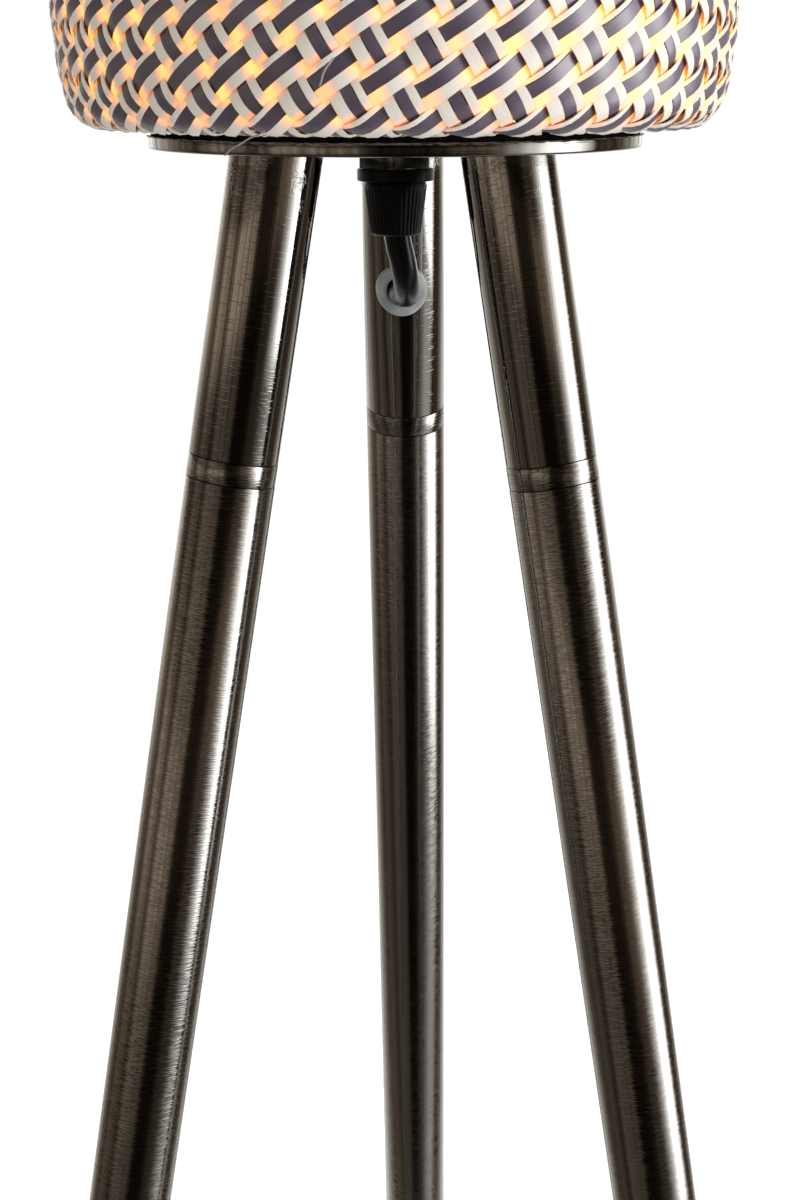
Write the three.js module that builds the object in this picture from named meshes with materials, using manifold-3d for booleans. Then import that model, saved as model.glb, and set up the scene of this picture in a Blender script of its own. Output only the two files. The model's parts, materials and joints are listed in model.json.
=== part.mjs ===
// Tripod floor lamp with a woven strip shade, in millimetres, +Z up.
// The lamp stands on z = 0. X and Y are zero at the middle of the tripod's footprint.
import * as THREE from 'three';
import { mergeVertices } from 'three/addons/utils/BufferGeometryUtils.js';
import Module from 'manifold-3d';

const wasm = await Module();
wasm.setup();

// Fits shared by all pieces
const seatGap = 0.3;
const overrun = 1;
const weldTolerance = 0.0001;

// Tripod head: a round plate with three tube stubs welded under it
const plateRadius = 60;
const plateThickness = 3.8;
const plateEdgeRadius = 0.8;
const legInset = 28.8;
const legCircleRadius = plateRadius - legInset;
const legSplay = THREE.MathUtils.degToRad(10.64);
const legAzimuths = { rear: Math.PI / 2, left: (Math.PI * 7) / 6, right: (Math.PI * 11) / 6 };
const stubLength = 73.8;
const plateSegments = 40;

// Legs: tubes joined end to end by turned connectors
const tubeRadius = 11.1;
const tubeWall = 1.2;
const legTubeLength = 440;
const connectorRing = 5.2;
const spigotLength = 20;
const spigotWall = 2.5;
const legSegments = 20;

// Rubber feet
const footWall = 1.8;
const footSleeve = 16;
const footSole = 4;

// Grommet in the rear stub
const grommetStation = 36.8;
const grommetBore = 3.85;
const grommetNeck = 5;
const grommetFlange = 7.05;
const grommetBead = 1.9;
const grommetInnerLip = 6.2;
const grommetInnerLipThickness = 1.2;
const grommetSegments = 18;

// Lead
const leadRadius = 3.3;
const leadSides = 8;
const coreRadius = 1.1;
const coreSpacing = 2.6;

// Boot where the lead leaves the rear leg
const bootStation = 30;
const bootLength = 26;
const bootBaseRadius = 6.6;
const bootTipRadius = 4.7;
const bootNeckRadius = 5;
const bootReach = 2;
const bootSegments = 16;

// Nipple, nut and washer that hold the lampholder on the plate
const nippleRadius = 5;
const nippleBore = 3.9;
const nutAcrossFlats = 17;
const nutHeight = 4.8;
const washerRadius = 8.5;
const washerThickness = 1.2;

// Cord grip under the nut
const gripFlangeRadius = 9.4;
const gripFlangeHeight = 2.9;
const gripNeckRadius = 6.2;
const gripNeckLength = 5;
const gripCapTopRadius = 7.75;
const gripCapTipRadius = 6.3;
const gripCapHeight = 12.6;
const gripFlutes = 20;
const gripFluteDepth = 0.35;
const gripFluteSteps = 2;

// Lampholder
const holderRadius = 19.5;
const holderWall = 2;
const holderBaseRadius = 17.4;
const holderBaseHeight = 26;
const holderFloor = 2.4;
const holderLedgeHeight = 10;
const holderLedgeWidth = 2.8;
const insertHeight = 13;
const sleeveHeight = 40;
const shoulderHeight = 12;
const shoulderRadius = 26;
const shoulderThickness = 2;
const shellRadius = 14.1;
const shellWall = 0.5;
const shellHeight = 24;
const contactRadius = 3;
const contactHeight = 3;
const clampRingHeight = 7;
const clampRingRadius = 25;
const holderSegments = 24;

// Bulb
const capRadius = 13.2;
const capThreadHeight = 20;
const capConeHeight = 4;
const capTipRadius = 4.6;
const capRimRadius = 13.8;
const capRimHeight = 2;
const bulbRadius = 30;
const bulbNeckRadius = 13.4;
const bulbNeckHeight = 34;
const bulbWall = 0.8;
const bulbSegments = 20;

// Shade: a thin woven shell with rounded lower and upper corners
const shadeRadius = 80;
const shadeHeight = 330;
const shadeThickness = 1.8;
const shadeCorner = 10;
const shadeDraft = 1.5;
const shadeDraftHeight = 16;
const shadeMouthRadius = 62;
const shadeBottomLip = 57;
const shadeSegments = 42;

// Wire cage in the shade
const wireRadius = 1.75;
const uprightRadius = 1.3;
const spiderHubRadius = 30.5;
const spiderThickness = 1.6;
const spiderArmRadius = 1.5;
const ringSegments = 30;
const wireSides = 6;

// Foot switch on the lead
const switchRadius = 31;
const switchBaseHeight = 7;
const switchCoverHeight = 15;
const switchWall = 2.2;
const switchCoverTopRadius = 21;
const switchCollarRadius = 5.2;
const switchCollarTip = 4.4;
const switchCollarLength = 8;
const switchCollarHeight = 5.6;
const buttonRadius = 13;
const buttonFlange = 15.5;
const buttonFlangeThickness = 1.6;
const buttonProud = 5;
const buttonCrown = 1.4;
const screwHeadRadius = 2.8;
const screwHeadHeight = 1.6;
const screwShankRadius = 1.4;
const screwSpacing = 40;
const switchSegments = 24;

// Plug
const plugWidth = 35.3;
const plugBackWidth = 17;
const plugDepth = 36;
const plugThickness = 13.7;
const plugBevel = 2;
const plugSleeve = 20;
const plugSleeveRadius = 5.6;
const plugSleeveTip = 4.5;
const pinRadius = 2;
const pinSpacing = 18.6;
const pinLength = 19;
const pinSeat = 6;

// Coil of lead and its tie
const coilTurns = 6;
const coilPitch = 7.1;
const coilMidRadius = 38;
const coilSteps = 24;
const coilSides = 6;
const coilStub = 7;
const tieThickness = 0.6;
const tieWidth = 9;

const finishes = {
  nickel: { color: 0x5c564f, roughness: 0.3, metalness: 1 },
  polishedNickel: { color: 0x6b655e, roughness: 0.2, metalness: 1 },
  steel: { color: 0x9a9a9a, roughness: 0.35, metalness: 1 },
  brass: { color: 0xb08d4c, roughness: 0.3, metalness: 1 },
  blackPlastic: { color: 0x0b0b0c, roughness: 0.5, metalness: 0 },
  greyRubber: { color: 0x7a7a76, roughness: 0.75, metalness: 0 },
  blackRubber: { color: 0x151515, roughness: 0.8, metalness: 0 },
  lead: { color: 0x252527, roughness: 0.55, metalness: 0 },
  core: { color: 0x7b4a2a, roughness: 0.5, metalness: 0 },
  ceramic: { color: 0xe9e6de, roughness: 0.4, metalness: 0 },
  strips: { color: 0xa8937a, roughness: 0.6, metalness: 0 },
  wire: { color: 0xd8d5cc, roughness: 0.4, metalness: 0.3 },
  glass: { color: 0xffe2b0, roughness: 0.25, metalness: 0 },
};

// Helpers

function weld(geometry) {
  const bare = geometry.clone();
  bare.deleteAttribute('normal');
  bare.deleteAttribute('uv');
  return mergeVertices(bare, weldTolerance);
}

function toSolid(geometry) {
  const merged = weld(geometry);
  return new wasm.Manifold(new wasm.Mesh({
    numProp: 3,
    vertProperties: merged.getAttribute('position').array,
    triVerts: new Uint32Array(merged.index.array),
  }));
}

function toGeometry(solid) {
  const { vertProperties, triVerts } = solid.getMesh();
  const geometry = new THREE.BufferGeometry();
  geometry.setAttribute('position', new THREE.BufferAttribute(new Float32Array(vertProperties), 3));
  geometry.setIndex(new THREE.BufferAttribute(new Uint32Array(triVerts), 1));
  geometry.computeVertexNormals();
  return geometry;
}

function join(...geometries) {
  return toGeometry(geometries.map(toSolid).reduce((whole, next) => whole.add(next)));
}

function cut(geometry, ...tools) {
  return toGeometry(tools.map(toSolid).reduce((rest, tool) => rest.subtract(tool), toSolid(geometry)));
}

// Turns a profile of [radius, height] pairs about +Z. A profile off the axis closes on itself.
function revolve(profile, segments) {
  const points = profile.map(([radius, height]) => new THREE.Vector2(radius, height));
  if (profile[0][0] > 0) points.push(points[0].clone());
  return new THREE.LatheGeometry(points, segments).rotateX(Math.PI / 2);
}

function sleeve(inner, outer, bottom, top, segments) {
  return revolve([[inner, bottom], [outer, bottom], [outer, top], [inner, top]], segments);
}

function rod(radius, bottom, top, segments) {
  return revolve([[0, bottom], [radius, bottom], [radius, top], [0, top]], segments);
}

// Points of a round corner in a profile
function arc(radius, centreRadius, centreHeight, fromDegrees, toDegrees, steps) {
  return Array.from({ length: steps + 1 }, (_, i) => {
    const angle = THREE.MathUtils.degToRad(fromDegrees + ((toDegrees - fromDegrees) * i) / steps);
    return [centreRadius + radius * Math.cos(angle), centreHeight + radius * Math.sin(angle)];
  });
}

// A curve through hand-set points whose rings fall evenly between neighbouring points
class Route extends THREE.CatmullRomCurve3 {
  constructor(points) {
    super(points.map(([x, y, z]) => new THREE.Vector3(x, y, z)), false, 'centripetal');
  }

  getPointAt(share, target) {
    return this.getPoint(share, target);
  }

  getTangentAt(share, target) {
    return this.getTangent(share, target);
  }
}

function roundSection(radius, sides) {
  return new THREE.Shape(Array.from({ length: sides }, (_, i) => {
    const angle = (2 * Math.PI * i) / sides;
    return new THREE.Vector2(radius * Math.cos(angle), radius * Math.sin(angle));
  }));
}

function tubeAlong(route, radius, sides, ringsPerPoint) {
  const steps = (route.points.length - 1) * ringsPerPoint;
  return new THREE.ExtrudeGeometry(roundSection(radius, sides), { steps, extrudePath: route });
}

function straightRod(from, to, radius, sides) {
  return tubeAlong(new Route([from, to]), radius, sides, 1);
}

function addMesh(parent, name, geometry, finish) {
  const mesh = new THREE.Mesh(geometry, new THREE.MeshStandardMaterial(finishes[finish]));
  mesh.name = name;
  parent.add(mesh);
  return mesh;
}

// Stations along a leg, measured from the plate's underside on the leg's axis
const connectorStation = stubLength + seatGap;
const upperTubeStation = connectorStation + connectorRing + seatGap;
const couplingStation = upperTubeStation + legTubeLength + seatGap;
const lowerTubeStation = couplingStation + connectorRing + seatGap;
const lowerTubeEnd = lowerTubeStation + legTubeLength;
const tubeBore = tubeRadius - tubeWall;
const spigotRadius = tubeBore - seatGap;

// Heights of the head, from the length and splay of the legs
const plateUnderside = footSole + (lowerTubeEnd + seatGap) * Math.cos(legSplay) + tubeRadius * Math.sin(legSplay);
const plateTop = plateUnderside + plateThickness;
const footCircleRadius = legCircleRadius + lowerTubeEnd * Math.sin(legSplay);

const lamp = new THREE.Group();
// One foot is behind and two are in front, so the footprint's middle lies behind the lamp's axis.
lamp.position.y = -footCircleRadius * (1 - Math.cos(Math.PI / 3)) / 2;

function makePlate() {
  const hole = nippleRadius + seatGap;
  const edge = plateRadius - plateEdgeRadius;
  const profile = [
    [hole, 0],
    ...arc(plateEdgeRadius, edge, plateEdgeRadius, -90, 0, 3),
    [plateRadius, plateThickness],
    [hole, plateThickness],
  ];
  addMesh(lamp, 'plate', revolve(profile, plateSegments), 'nickel').position.z = plateUnderside;
}

// A slab that covers the whole leg above (side 1) or below (side -1) a level plane, in the leg's own
// frame. The plane lies depth below the plate's underside.
function levelSlab(depth, side) {
  const size = 2 * lowerTubeEnd;
  const slab = new THREE.BoxGeometry(size, size, size);
  slab.translate(0, 0, side * size / 2 - depth);
  slab.rotateY(legSplay);
  return slab;
}

function connectorProfile() {
  const bore = spigotRadius - spigotWall;
  const half = connectorRing / 2;
  return [
    [bore, -half - spigotLength],
    [spigotRadius, -half - spigotLength],
    [spigotRadius, -half],
    [tubeRadius, -half],
    [tubeRadius, half],
    [spigotRadius, half],
    [spigotRadius, half + spigotLength],
    [bore, half + spigotLength],
  ];
}

function footGeometry() {
  const inner = tubeRadius + seatGap;
  const outer = inner + footWall;
  const top = footSleeve;
  const bottom = -seatGap - footSole - 2 * outer * Math.tan(legSplay);
  const cap = revolve([
    [0, bottom],
    [outer, bottom],
    [outer, top - footWall / 2],
    [outer - footWall / 2, top],
    [inner, top],
    [inner, -seatGap],
    [0, -seatGap],
  ], legSegments);
  cap.translate(0, 0, -lowerTubeEnd);
  return cut(cap, levelSlab(plateUnderside, -1));
}

function makeLeg(name, azimuth) {
  const radial = new THREE.Group();
  radial.rotation.z = azimuth;
  radial.position.set(legCircleRadius * Math.cos(azimuth), legCircleRadius * Math.sin(azimuth), plateUnderside);
  const leg = new THREE.Group();
  leg.rotation.y = -legSplay;
  radial.add(leg);
  lamp.add(radial);

  let stub = sleeve(tubeBore, tubeRadius, -stubLength, tubeRadius, legSegments);
  stub = cut(stub, levelSlab(seatGap, 1));
  let lowerTube = sleeve(tubeBore, tubeRadius, -lowerTubeEnd, -lowerTubeStation, legSegments);
  if (name === 'rear') {
    const grommetHole = rod(grommetNeck + seatGap, 0, tubeRadius + overrun, grommetSegments);
    grommetHole.rotateY(-Math.PI / 2).translate(0, 0, -grommetStation);
    stub = cut(stub, grommetHole);
    const bootHole = rod(bootNeckRadius + seatGap, 0, tubeRadius + overrun, bootSegments);
    bootHole.rotateY(Math.PI / 2).translate(0, 0, bootStation - lowerTubeEnd);
    lowerTube = cut(lowerTube, bootHole);
  }
  const connector = revolve(connectorProfile(), legSegments);
  const upperTube = sleeve(tubeBore, tubeRadius, -legTubeLength, 0, legSegments);

  addMesh(leg, `leg_stub_${name}`, stub, 'polishedNickel');
  addMesh(leg, `leg_connector_${name}`, connector, 'nickel').position.z = -connectorStation - connectorRing / 2;
  addMesh(leg, `leg_tube_upper_${name}`, upperTube, 'nickel').position.z = -upperTubeStation;
  addMesh(leg, `leg_coupling_${name}`, connector, 'nickel').position.z = -couplingStation - connectorRing / 2;
  addMesh(leg, `leg_tube_lower_${name}`, lowerTube, 'nickel');
  addMesh(leg, `leg_foot_${name}`, footGeometry(), 'blackRubber');
  return leg;
}

// Lays a piece that was turned about +Z on the inner side of a leg tube, bent to the tube's surface
function bendOntoTube(geometry, station) {
  const position = geometry.getAttribute('position');
  for (let i = 0; i < position.count; i += 1) {
    const across = position.getX(i);
    const reach = tubeRadius + position.getZ(i);
    position.setXYZ(i, -Math.sqrt(reach * reach - across * across), -across, position.getY(i) - station);
  }
  return geometry;
}

function makeGrommet(leg) {
  const lipTop = -tubeWall - seatGap;
  const lipBottom = lipTop - grommetInnerLipThickness;
  const beadRound = (grommetBead - seatGap) / 2;
  const profile = [
    [grommetBore, lipBottom],
    [grommetInnerLip, lipBottom],
    [grommetInnerLip, lipTop],
    [grommetNeck, lipTop],
    [grommetNeck, seatGap],
    ...arc(beadRound, grommetFlange - beadRound, seatGap + beadRound, -90, 90, 4),
    ...arc(beadRound, grommetBore + beadRound, grommetBead - beadRound, 90, 180, 3),
  ];
  addMesh(leg, 'cord_grommet', bendOntoTube(revolve(profile, grommetSegments), grommetStation), 'greyRubber');
}

function makeBoot(leg) {
  const bore = leadRadius + seatGap;
  const mouth = tubeRadius + bootLength;
  const step = bootLength / 6;
  const sleevePart = revolve([
    [bore, tubeRadius - bootReach],
    [bootBaseRadius, tubeRadius - bootReach],
    [bootBaseRadius, tubeRadius + step],
    [bootTipRadius, mouth - step],
    [bootTipRadius, mouth],
    [bore, mouth],
  ], bootSegments).rotateY(Math.PI / 2);
  const saddle = rod(tubeRadius + seatGap, -bootLength, bootLength, legSegments);
  const neck = sleeve(bore, bootNeckRadius, tubeBore - bootReach, tubeRadius + bootReach, bootSegments);
  const boot = join(cut(sleevePart, saddle), neck.rotateY(Math.PI / 2));
  addMesh(leg, 'lead_boot', boot.translate(0, 0, bootStation - lowerTubeEnd), 'blackRubber');
}

function hexPrism(acrossFlats, height, holeRadius) {
  const corner = acrossFlats / 2 / Math.cos(Math.PI / 6);
  const outline = new THREE.Shape(Array.from({ length: 6 }, (_, i) => {
    const angle = Math.PI / 2 + (Math.PI * i) / 3;
    return new THREE.Vector2(corner * Math.cos(angle), corner * Math.sin(angle));
  }));
  outline.holes.push(new THREE.Path(roundSection(holeRadius, grommetSegments).getPoints()));
  return new THREE.ExtrudeGeometry(outline, { depth: height, bevelEnabled: false });
}

// Heights of the cord grip, downwards from the plate's underside
const gripFlangeTop = plateUnderside - 2 * seatGap - nutHeight;
const gripCapTop = gripFlangeTop - gripFlangeHeight - seatGap;
const gripCapBottom = gripCapTop - gripCapHeight;
const nippleBottom = gripCapTop - gripNeckLength + overrun;

function makeCordGrip() {
  const nut = hexPrism(nutAcrossFlats, nutHeight, nippleRadius + seatGap);
  addMesh(lamp, 'hex_nut', nut, 'steel').position.z = plateUnderside - seatGap - nutHeight;

  const threadBore = nippleRadius + seatGap;
  const base = revolve([
    [threadBore, -gripFlangeHeight - gripNeckLength],
    [gripNeckRadius, -gripFlangeHeight - gripNeckLength],
    [gripNeckRadius, -gripFlangeHeight],
    [gripFlangeRadius, -gripFlangeHeight],
    [gripFlangeRadius, 0],
    [threadBore, 0],
  ], holderSegments);
  addMesh(lamp, 'grip_base', base, 'blackPlastic').position.z = gripFlangeTop;

  const bore = leadRadius + seatGap;
  const cavity = gripNeckRadius + seatGap;
  const cavityDepth = gripNeckLength + seatGap;
  const profile = [
    [gripCapTipRadius, -gripCapHeight],
    [gripCapTopRadius, 0],
    [cavity, 0],
    [cavity, -cavityDepth],
    [bore, -cavityDepth],
    [bore, -gripCapHeight],
  ];
  const cap = revolve(profile, gripFlutes * gripFluteSteps);
  const position = cap.getAttribute('position');
  const pointsPerTurn = profile.length + 1;
  for (let i = 0; i < position.count; i += 1) {
    const place = i % pointsPerTurn;
    if (place < 2 || place === profile.length) {
      const x = position.getX(i);
      const y = position.getY(i);
      const depth = gripFluteDepth * (1 + Math.cos(Math.atan2(y, x) * gripFlutes)) / 2;
      const share = 1 - depth / Math.hypot(x, y);
      position.setXY(i, x * share, y * share);
    }
  }
  addMesh(lamp, 'grip_cap', cap, 'blackPlastic').position.z = gripCapTop;
}

// Heights of the lampholder and what sits on it, upwards from the plate's top
const washerBottom = plateTop + seatGap;
const holderBottom = washerBottom + washerThickness + seatGap;
const ledgeTop = holderBottom + holderLedgeHeight;
const insertBottom = ledgeTop + seatGap;
const insertTop = insertBottom + insertHeight;
const sleeveBottom = holderBottom + holderBaseHeight + seatGap;
const sleeveTop = sleeveBottom + sleeveHeight;
const shoulderTop = sleeveBottom + shoulderHeight + shoulderThickness;
const spiderBottom = shoulderTop + seatGap;
const clampRingBottom = spiderBottom + spiderThickness + seatGap;
const contactBottom = insertTop + seatGap;
const bulbBottom = contactBottom + contactHeight + seatGap;
const nippleTop = holderBottom + holderFloor + overrun;
const leadTop = nippleTop + overrun;

function makeNippleAndWasher() {
  const nipple = sleeve(nippleBore, nippleRadius, nippleBottom, nippleTop, legSegments);
  addMesh(lamp, 'threaded_nipple', nipple, 'steel');
  const washer = sleeve(nippleRadius + seatGap, washerRadius, washerBottom, washerBottom + washerThickness, legSegments);
  addMesh(lamp, 'plate_washer', washer, 'steel');
}

function makeLampholder() {
  const base = revolve([
    [nippleRadius + seatGap, 0],
    [holderBaseRadius - holderWall, 0],
    [holderBaseRadius, holderWall],
    [holderBaseRadius, holderBaseHeight],
    [holderBaseRadius - holderWall, holderBaseHeight],
    [holderBaseRadius - holderWall, holderLedgeHeight],
    [holderBaseRadius - holderWall - holderLedgeWidth, holderLedgeHeight],
    [holderBaseRadius - holderWall - holderLedgeWidth, holderFloor],
    [nippleRadius + seatGap, holderFloor],
  ], holderSegments);
  addMesh(lamp, 'holder_base', base, 'blackPlastic').position.z = holderBottom;

  const insertRadius = holderBaseRadius - holderWall - seatGap;
  addMesh(lamp, 'holder_insert', rod(insertRadius, insertBottom, insertTop, legSegments), 'ceramic');

  const shell = sleeve(shellRadius - shellWall, shellRadius, contactBottom, contactBottom + shellHeight, legSegments);
  addMesh(lamp, 'holder_thread_shell', shell, 'brass');
  const contact = rod(contactRadius, contactBottom, contactBottom + contactHeight, grommetSegments / 2);
  addMesh(lamp, 'holder_contact', contact, 'brass');

  const outer = holderRadius;
  const inner = holderRadius - holderWall;
  const footing = holderBaseRadius - holderWall + seatGap;
  const holderSleeve = revolve([
    [footing, 0],
    [outer, 0],
    [outer, shoulderHeight],
    [shoulderRadius, shoulderHeight],
    [shoulderRadius, shoulderHeight + shoulderThickness],
    [outer, shoulderHeight + shoulderThickness],
    [outer, sleeveHeight],
    [inner, sleeveHeight],
    [inner, holderWall],
    [footing, holderWall],
  ], holderSegments);
  addMesh(lamp, 'holder_sleeve', holderSleeve, 'blackPlastic').position.z = sleeveBottom;

  const ringInner = outer + seatGap;
  const clampRing = sleeve(ringInner, clampRingRadius, clampRingBottom, clampRingBottom + clampRingHeight, holderSegments);
  addMesh(lamp, 'shade_clamp_ring', clampRing, 'blackPlastic');
}

function makeBulb() {
  const threadTop = capConeHeight + capThreadHeight;
  const cap = revolve([
    [0, 0],
    [capTipRadius, 0],
    [capTipRadius, capConeHeight / 4],
    [capRadius, capConeHeight],
    [capRadius, threadTop],
    [capRimRadius, threadTop],
    [capRimRadius, threadTop + capRimHeight],
    [0, threadTop + capRimHeight],
  ], bulbSegments);
  addMesh(lamp, 'bulb_cap', cap, 'steel').position.z = bulbBottom;

  const glassBottom = bulbBottom + threadTop + capRimHeight + seatGap;
  const neck = new THREE.QuadraticBezierCurve(
    new THREE.Vector2(bulbNeckRadius, 0),
    new THREE.Vector2(bulbNeckRadius + capRimHeight, bulbNeckHeight / 2),
    new THREE.Vector2(bulbRadius * Math.cos(Math.PI / 7), bulbNeckHeight),
  ).getPoints(4).map(({ x, y }) => [x, y]);
  const globeCentre = bulbNeckHeight + bulbRadius * Math.sin(Math.PI / 7);
  const outline = [...neck, ...arc(bulbRadius, 0, globeCentre, -180 / 7, 90, 7).slice(1)];
  const inner = inset(outline, bulbWall);
  [outline, inner].forEach((line) => { line[line.length - 1][0] = 0; });
  const glass = revolve([...inner.reverse(), ...outline], bulbSegments);
  addMesh(lamp, 'bulb_glass', glass, 'glass').position.z = glassBottom;
}

// Outline of the woven shell from its lower lip to its upper lip, as [radius, height]
function shadeOutline() {
  const cornerCentre = shadeRadius - shadeDraft - shadeCorner;
  const corner = arc(shadeCorner, cornerCentre, shadeCorner, -90, 0, 4);
  const flare = new THREE.QuadraticBezierCurve(
    new THREE.Vector2(shadeRadius - shadeDraft, shadeCorner),
    new THREE.Vector2(shadeRadius - shadeDraft / 3, shadeCorner + shadeDraftHeight / 2),
    new THREE.Vector2(shadeRadius, shadeCorner + shadeDraftHeight),
  ).getPoints(2).slice(1).map(({ x, y }) => [x, y]);
  const lower = [...corner, ...flare];
  const upper = lower.map(([radius, height]) => [radius, shadeHeight - height]).reverse();
  return [[shadeBottomLip, 0], ...lower, ...upper, [shadeMouthRadius, shadeHeight]];
}

// The same outline moved inwards by the shell's thickness
function inset(outline, thickness) {
  return outline.map(([radius, height], i) => {
    const before = outline[Math.max(i - 1, 0)];
    const after = outline[Math.min(i + 1, outline.length - 1)];
    const along = new THREE.Vector2(after[0] - before[0], after[1] - before[1]).normalize();
    return [radius - thickness * along.y, height + thickness * along.x];
  });
}

const shadeBottom = plateTop + seatGap;
const wireCentreRadius = shadeRadius - shadeDraft - shadeCorner
  + (shadeCorner - shadeThickness - seatGap - wireRadius) * Math.SQRT1_2;
const wireInset = shadeCorner - (shadeCorner - shadeThickness - seatGap - wireRadius) * Math.SQRT1_2;
const lowerWireHeight = shadeBottom + wireInset;
const upperWireHeight = shadeBottom + shadeHeight - wireInset;

function makeShade() {
  const outline = shadeOutline();
  const profile = [...outline, ...inset(outline, shadeThickness).reverse()];
  addMesh(lamp, 'shade_weave', revolve(profile, shadeSegments), 'strips').position.z = shadeBottom;
}

function makeShadeCage() {
  const ring = revolve(arc(wireRadius, wireCentreRadius, 0, 0, 360, wireSides).slice(0, -1), ringSegments);
  addMesh(lamp, 'shade_ring_lower', ring, 'wire').position.z = lowerWireHeight;
  addMesh(lamp, 'shade_ring_upper', ring.clone(), 'wire').position.z = upperWireHeight;

  const plane = spiderBottom + spiderThickness / 2;
  const hub = sleeve(holderRadius + seatGap, spiderHubRadius, spiderBottom, spiderBottom + spiderThickness, holderSegments);
  const reach = wireCentreRadius - wireRadius - seatGap - spiderArmRadius;
  const arms = Object.values(legAzimuths).map((azimuth) => new THREE.Vector3(Math.cos(azimuth), Math.sin(azimuth), 0))
    .map((out) => straightRod(
      [out.x * (spiderHubRadius - spiderArmRadius), out.y * (spiderHubRadius - spiderArmRadius), plane],
      [out.x * reach, out.y * reach, lowerWireHeight],
      spiderArmRadius,
      wireSides,
    ));
  addMesh(lamp, 'shade_spider', join(hub, ...arms), 'wire');

  const bottom = lowerWireHeight + wireRadius + seatGap;
  const top = upperWireHeight - wireRadius - seatGap;
  Object.entries(legAzimuths).forEach(([name, azimuth]) => {
    const upright = rod(uprightRadius, bottom, top, wireSides);
    upright.translate(wireCentreRadius * Math.cos(azimuth), wireCentreRadius * Math.sin(azimuth), 0);
    addMesh(lamp, `shade_upright_${name}`, upright, 'wire');
  });
}

// A point on the rear leg's axis, or beside it, in the lamp's frame
function onRearLeg(station, outwards) {
  return [
    0,
    legCircleRadius + station * Math.sin(legSplay) + outwards * Math.cos(legSplay),
    plateUnderside - station * Math.cos(legSplay) + outwards * Math.sin(legSplay),
  ];
}

// The held lead's way from the lampholder through the grommet, then straight down inside the rear leg
// and out into the boot
const heldLeadHead = [
  [0, 0, leadTop],
  [0, 0, gripCapBottom + 5],
  [0.2, 0, gripCapBottom - 1.6],
  [1.4, 1.3, gripCapBottom - 6.8],
  [2.3, 5, gripCapBottom - 12],
  [2.2, 11.2, gripCapBottom - 15.8],
  [1.2, 18, gripCapBottom - 17],
  onRearLeg(grommetStation, -tubeRadius - 3.4),
  onRearLeg(grommetStation, -tubeRadius + 1),
  onRearLeg(grommetStation, -7),
  onRearLeg(grommetStation + 1.8, -3.2),
  onRearLeg(grommetStation + 7, 1),
  onRearLeg(grommetStation + 14, 2.2),
];

function makeHeldLead() {
  const route = new Route([
    ...heldLeadHead,
    onRearLeg(grommetStation + 24, 0.6),
    onRearLeg(grommetStation + 36, 0),
    onRearLeg(lowerTubeEnd - bootStation - 34, 0),
    onRearLeg(lowerTubeEnd - bootStation - 22, -1.8),
    onRearLeg(lowerTubeEnd - bootStation - 12, -3.2),
    onRearLeg(lowerTubeEnd - bootStation - 5, -2.4),
    onRearLeg(lowerTubeEnd - bootStation - 1, 1.8),
    onRearLeg(lowerTubeEnd - bootStation, 6.6),
    onRearLeg(lowerTubeEnd - bootStation, 10),
    onRearLeg(lowerTubeEnd - bootStation, tubeRadius + bootReach),
  ]);
  addMesh(lamp, 'lead_held', tubeAlong(route, leadRadius, leadSides, 2), 'lead');

  const top = insertBottom - seatGap;
  [-coreSpacing / 2, coreSpacing / 2].forEach((side, i) => {
    const core = straightRod([side, 0, leadTop + seatGap], [side, 0, top], coreRadius, leadSides);
    addMesh(lamp, `lead_core_${i + 1}`, core, 'core');
  });
}

makePlate();
const rearLeg = makeLeg('rear', legAzimuths.rear);
makeLeg('left', legAzimuths.left);
makeLeg('right', legAzimuths.right);
makeGrommet(rearLeg);
makeBoot(rearLeg);
makeCordGrip();
makeNippleAndWasher();
makeLampholder();
makeBulb();
makeShade();
makeShadeCage();
makeHeldLead();

// Free lead: from the boot to the foot switch, on to the coil, and from the coil to the plug.
// The points are set by hand in the lamp's frame, behind the rear foot.
const switchPlace = [0, 364];
const coilPlace = [92, 395.4];
const plugPlace = [164, 397.4];
const coilLowerHeight = leadRadius + tieThickness + 2 * seatGap;
const coilUpperHeight = coilLowerHeight + coilPitch;
const plugHeight = plugThickness / 2;

const tailRoute = [
  onRearLeg(lowerTubeEnd - bootStation, tubeRadius + bootReach + seatGap),
  onRearLeg(lowerTubeEnd - bootStation, tubeRadius + bootLength),
  [0, 253.5, 45.1],
  [0, 265, 44.6],
  [0, 275.5, 39.6],
  [0, 283.5, 31.6],
  [0, 290.5, 22.4],
  [0, 298, 14],
  [0, 306.5, 8.2],
  [0, 315.5, 5.9],
  [0, 324.7, 5.6],
];
const linkRoute = [
  [0, 403.3, 5.6],
  [0, 411, 5.1],
  [2, 421, 4.4],
  [8.4, 431.4, 4.1],
  [18.6, 439.8, 4.1],
  [31, 443.6, 4.2],
  [45, 444.05, 4.4],
  [62, 444.05, 4.5],
  [84.7, 444.05, 4.5],
];
const endRoute = [
  [99.3, 444.05, 11.6],
  [111, 443.9, 11.3],
  [126, 440.8, 9.8],
  [140.6, 433.8, 8],
  [152.4, 423.6, 7.1],
  [160.2, 411.6, 6.85],
  [163.6, 403.6, 6.85],
  [164, 397.7, 6.85],
];

function makeFreeLead() {
  const parts = { lead_tail: tailRoute, lead_link: linkRoute, lead_end: endRoute };
  Object.entries(parts).forEach(([name, points]) => {
    addMesh(lamp, name, tubeAlong(new Route(points), leadRadius, leadSides, 2), 'lead');
  });
}

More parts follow.
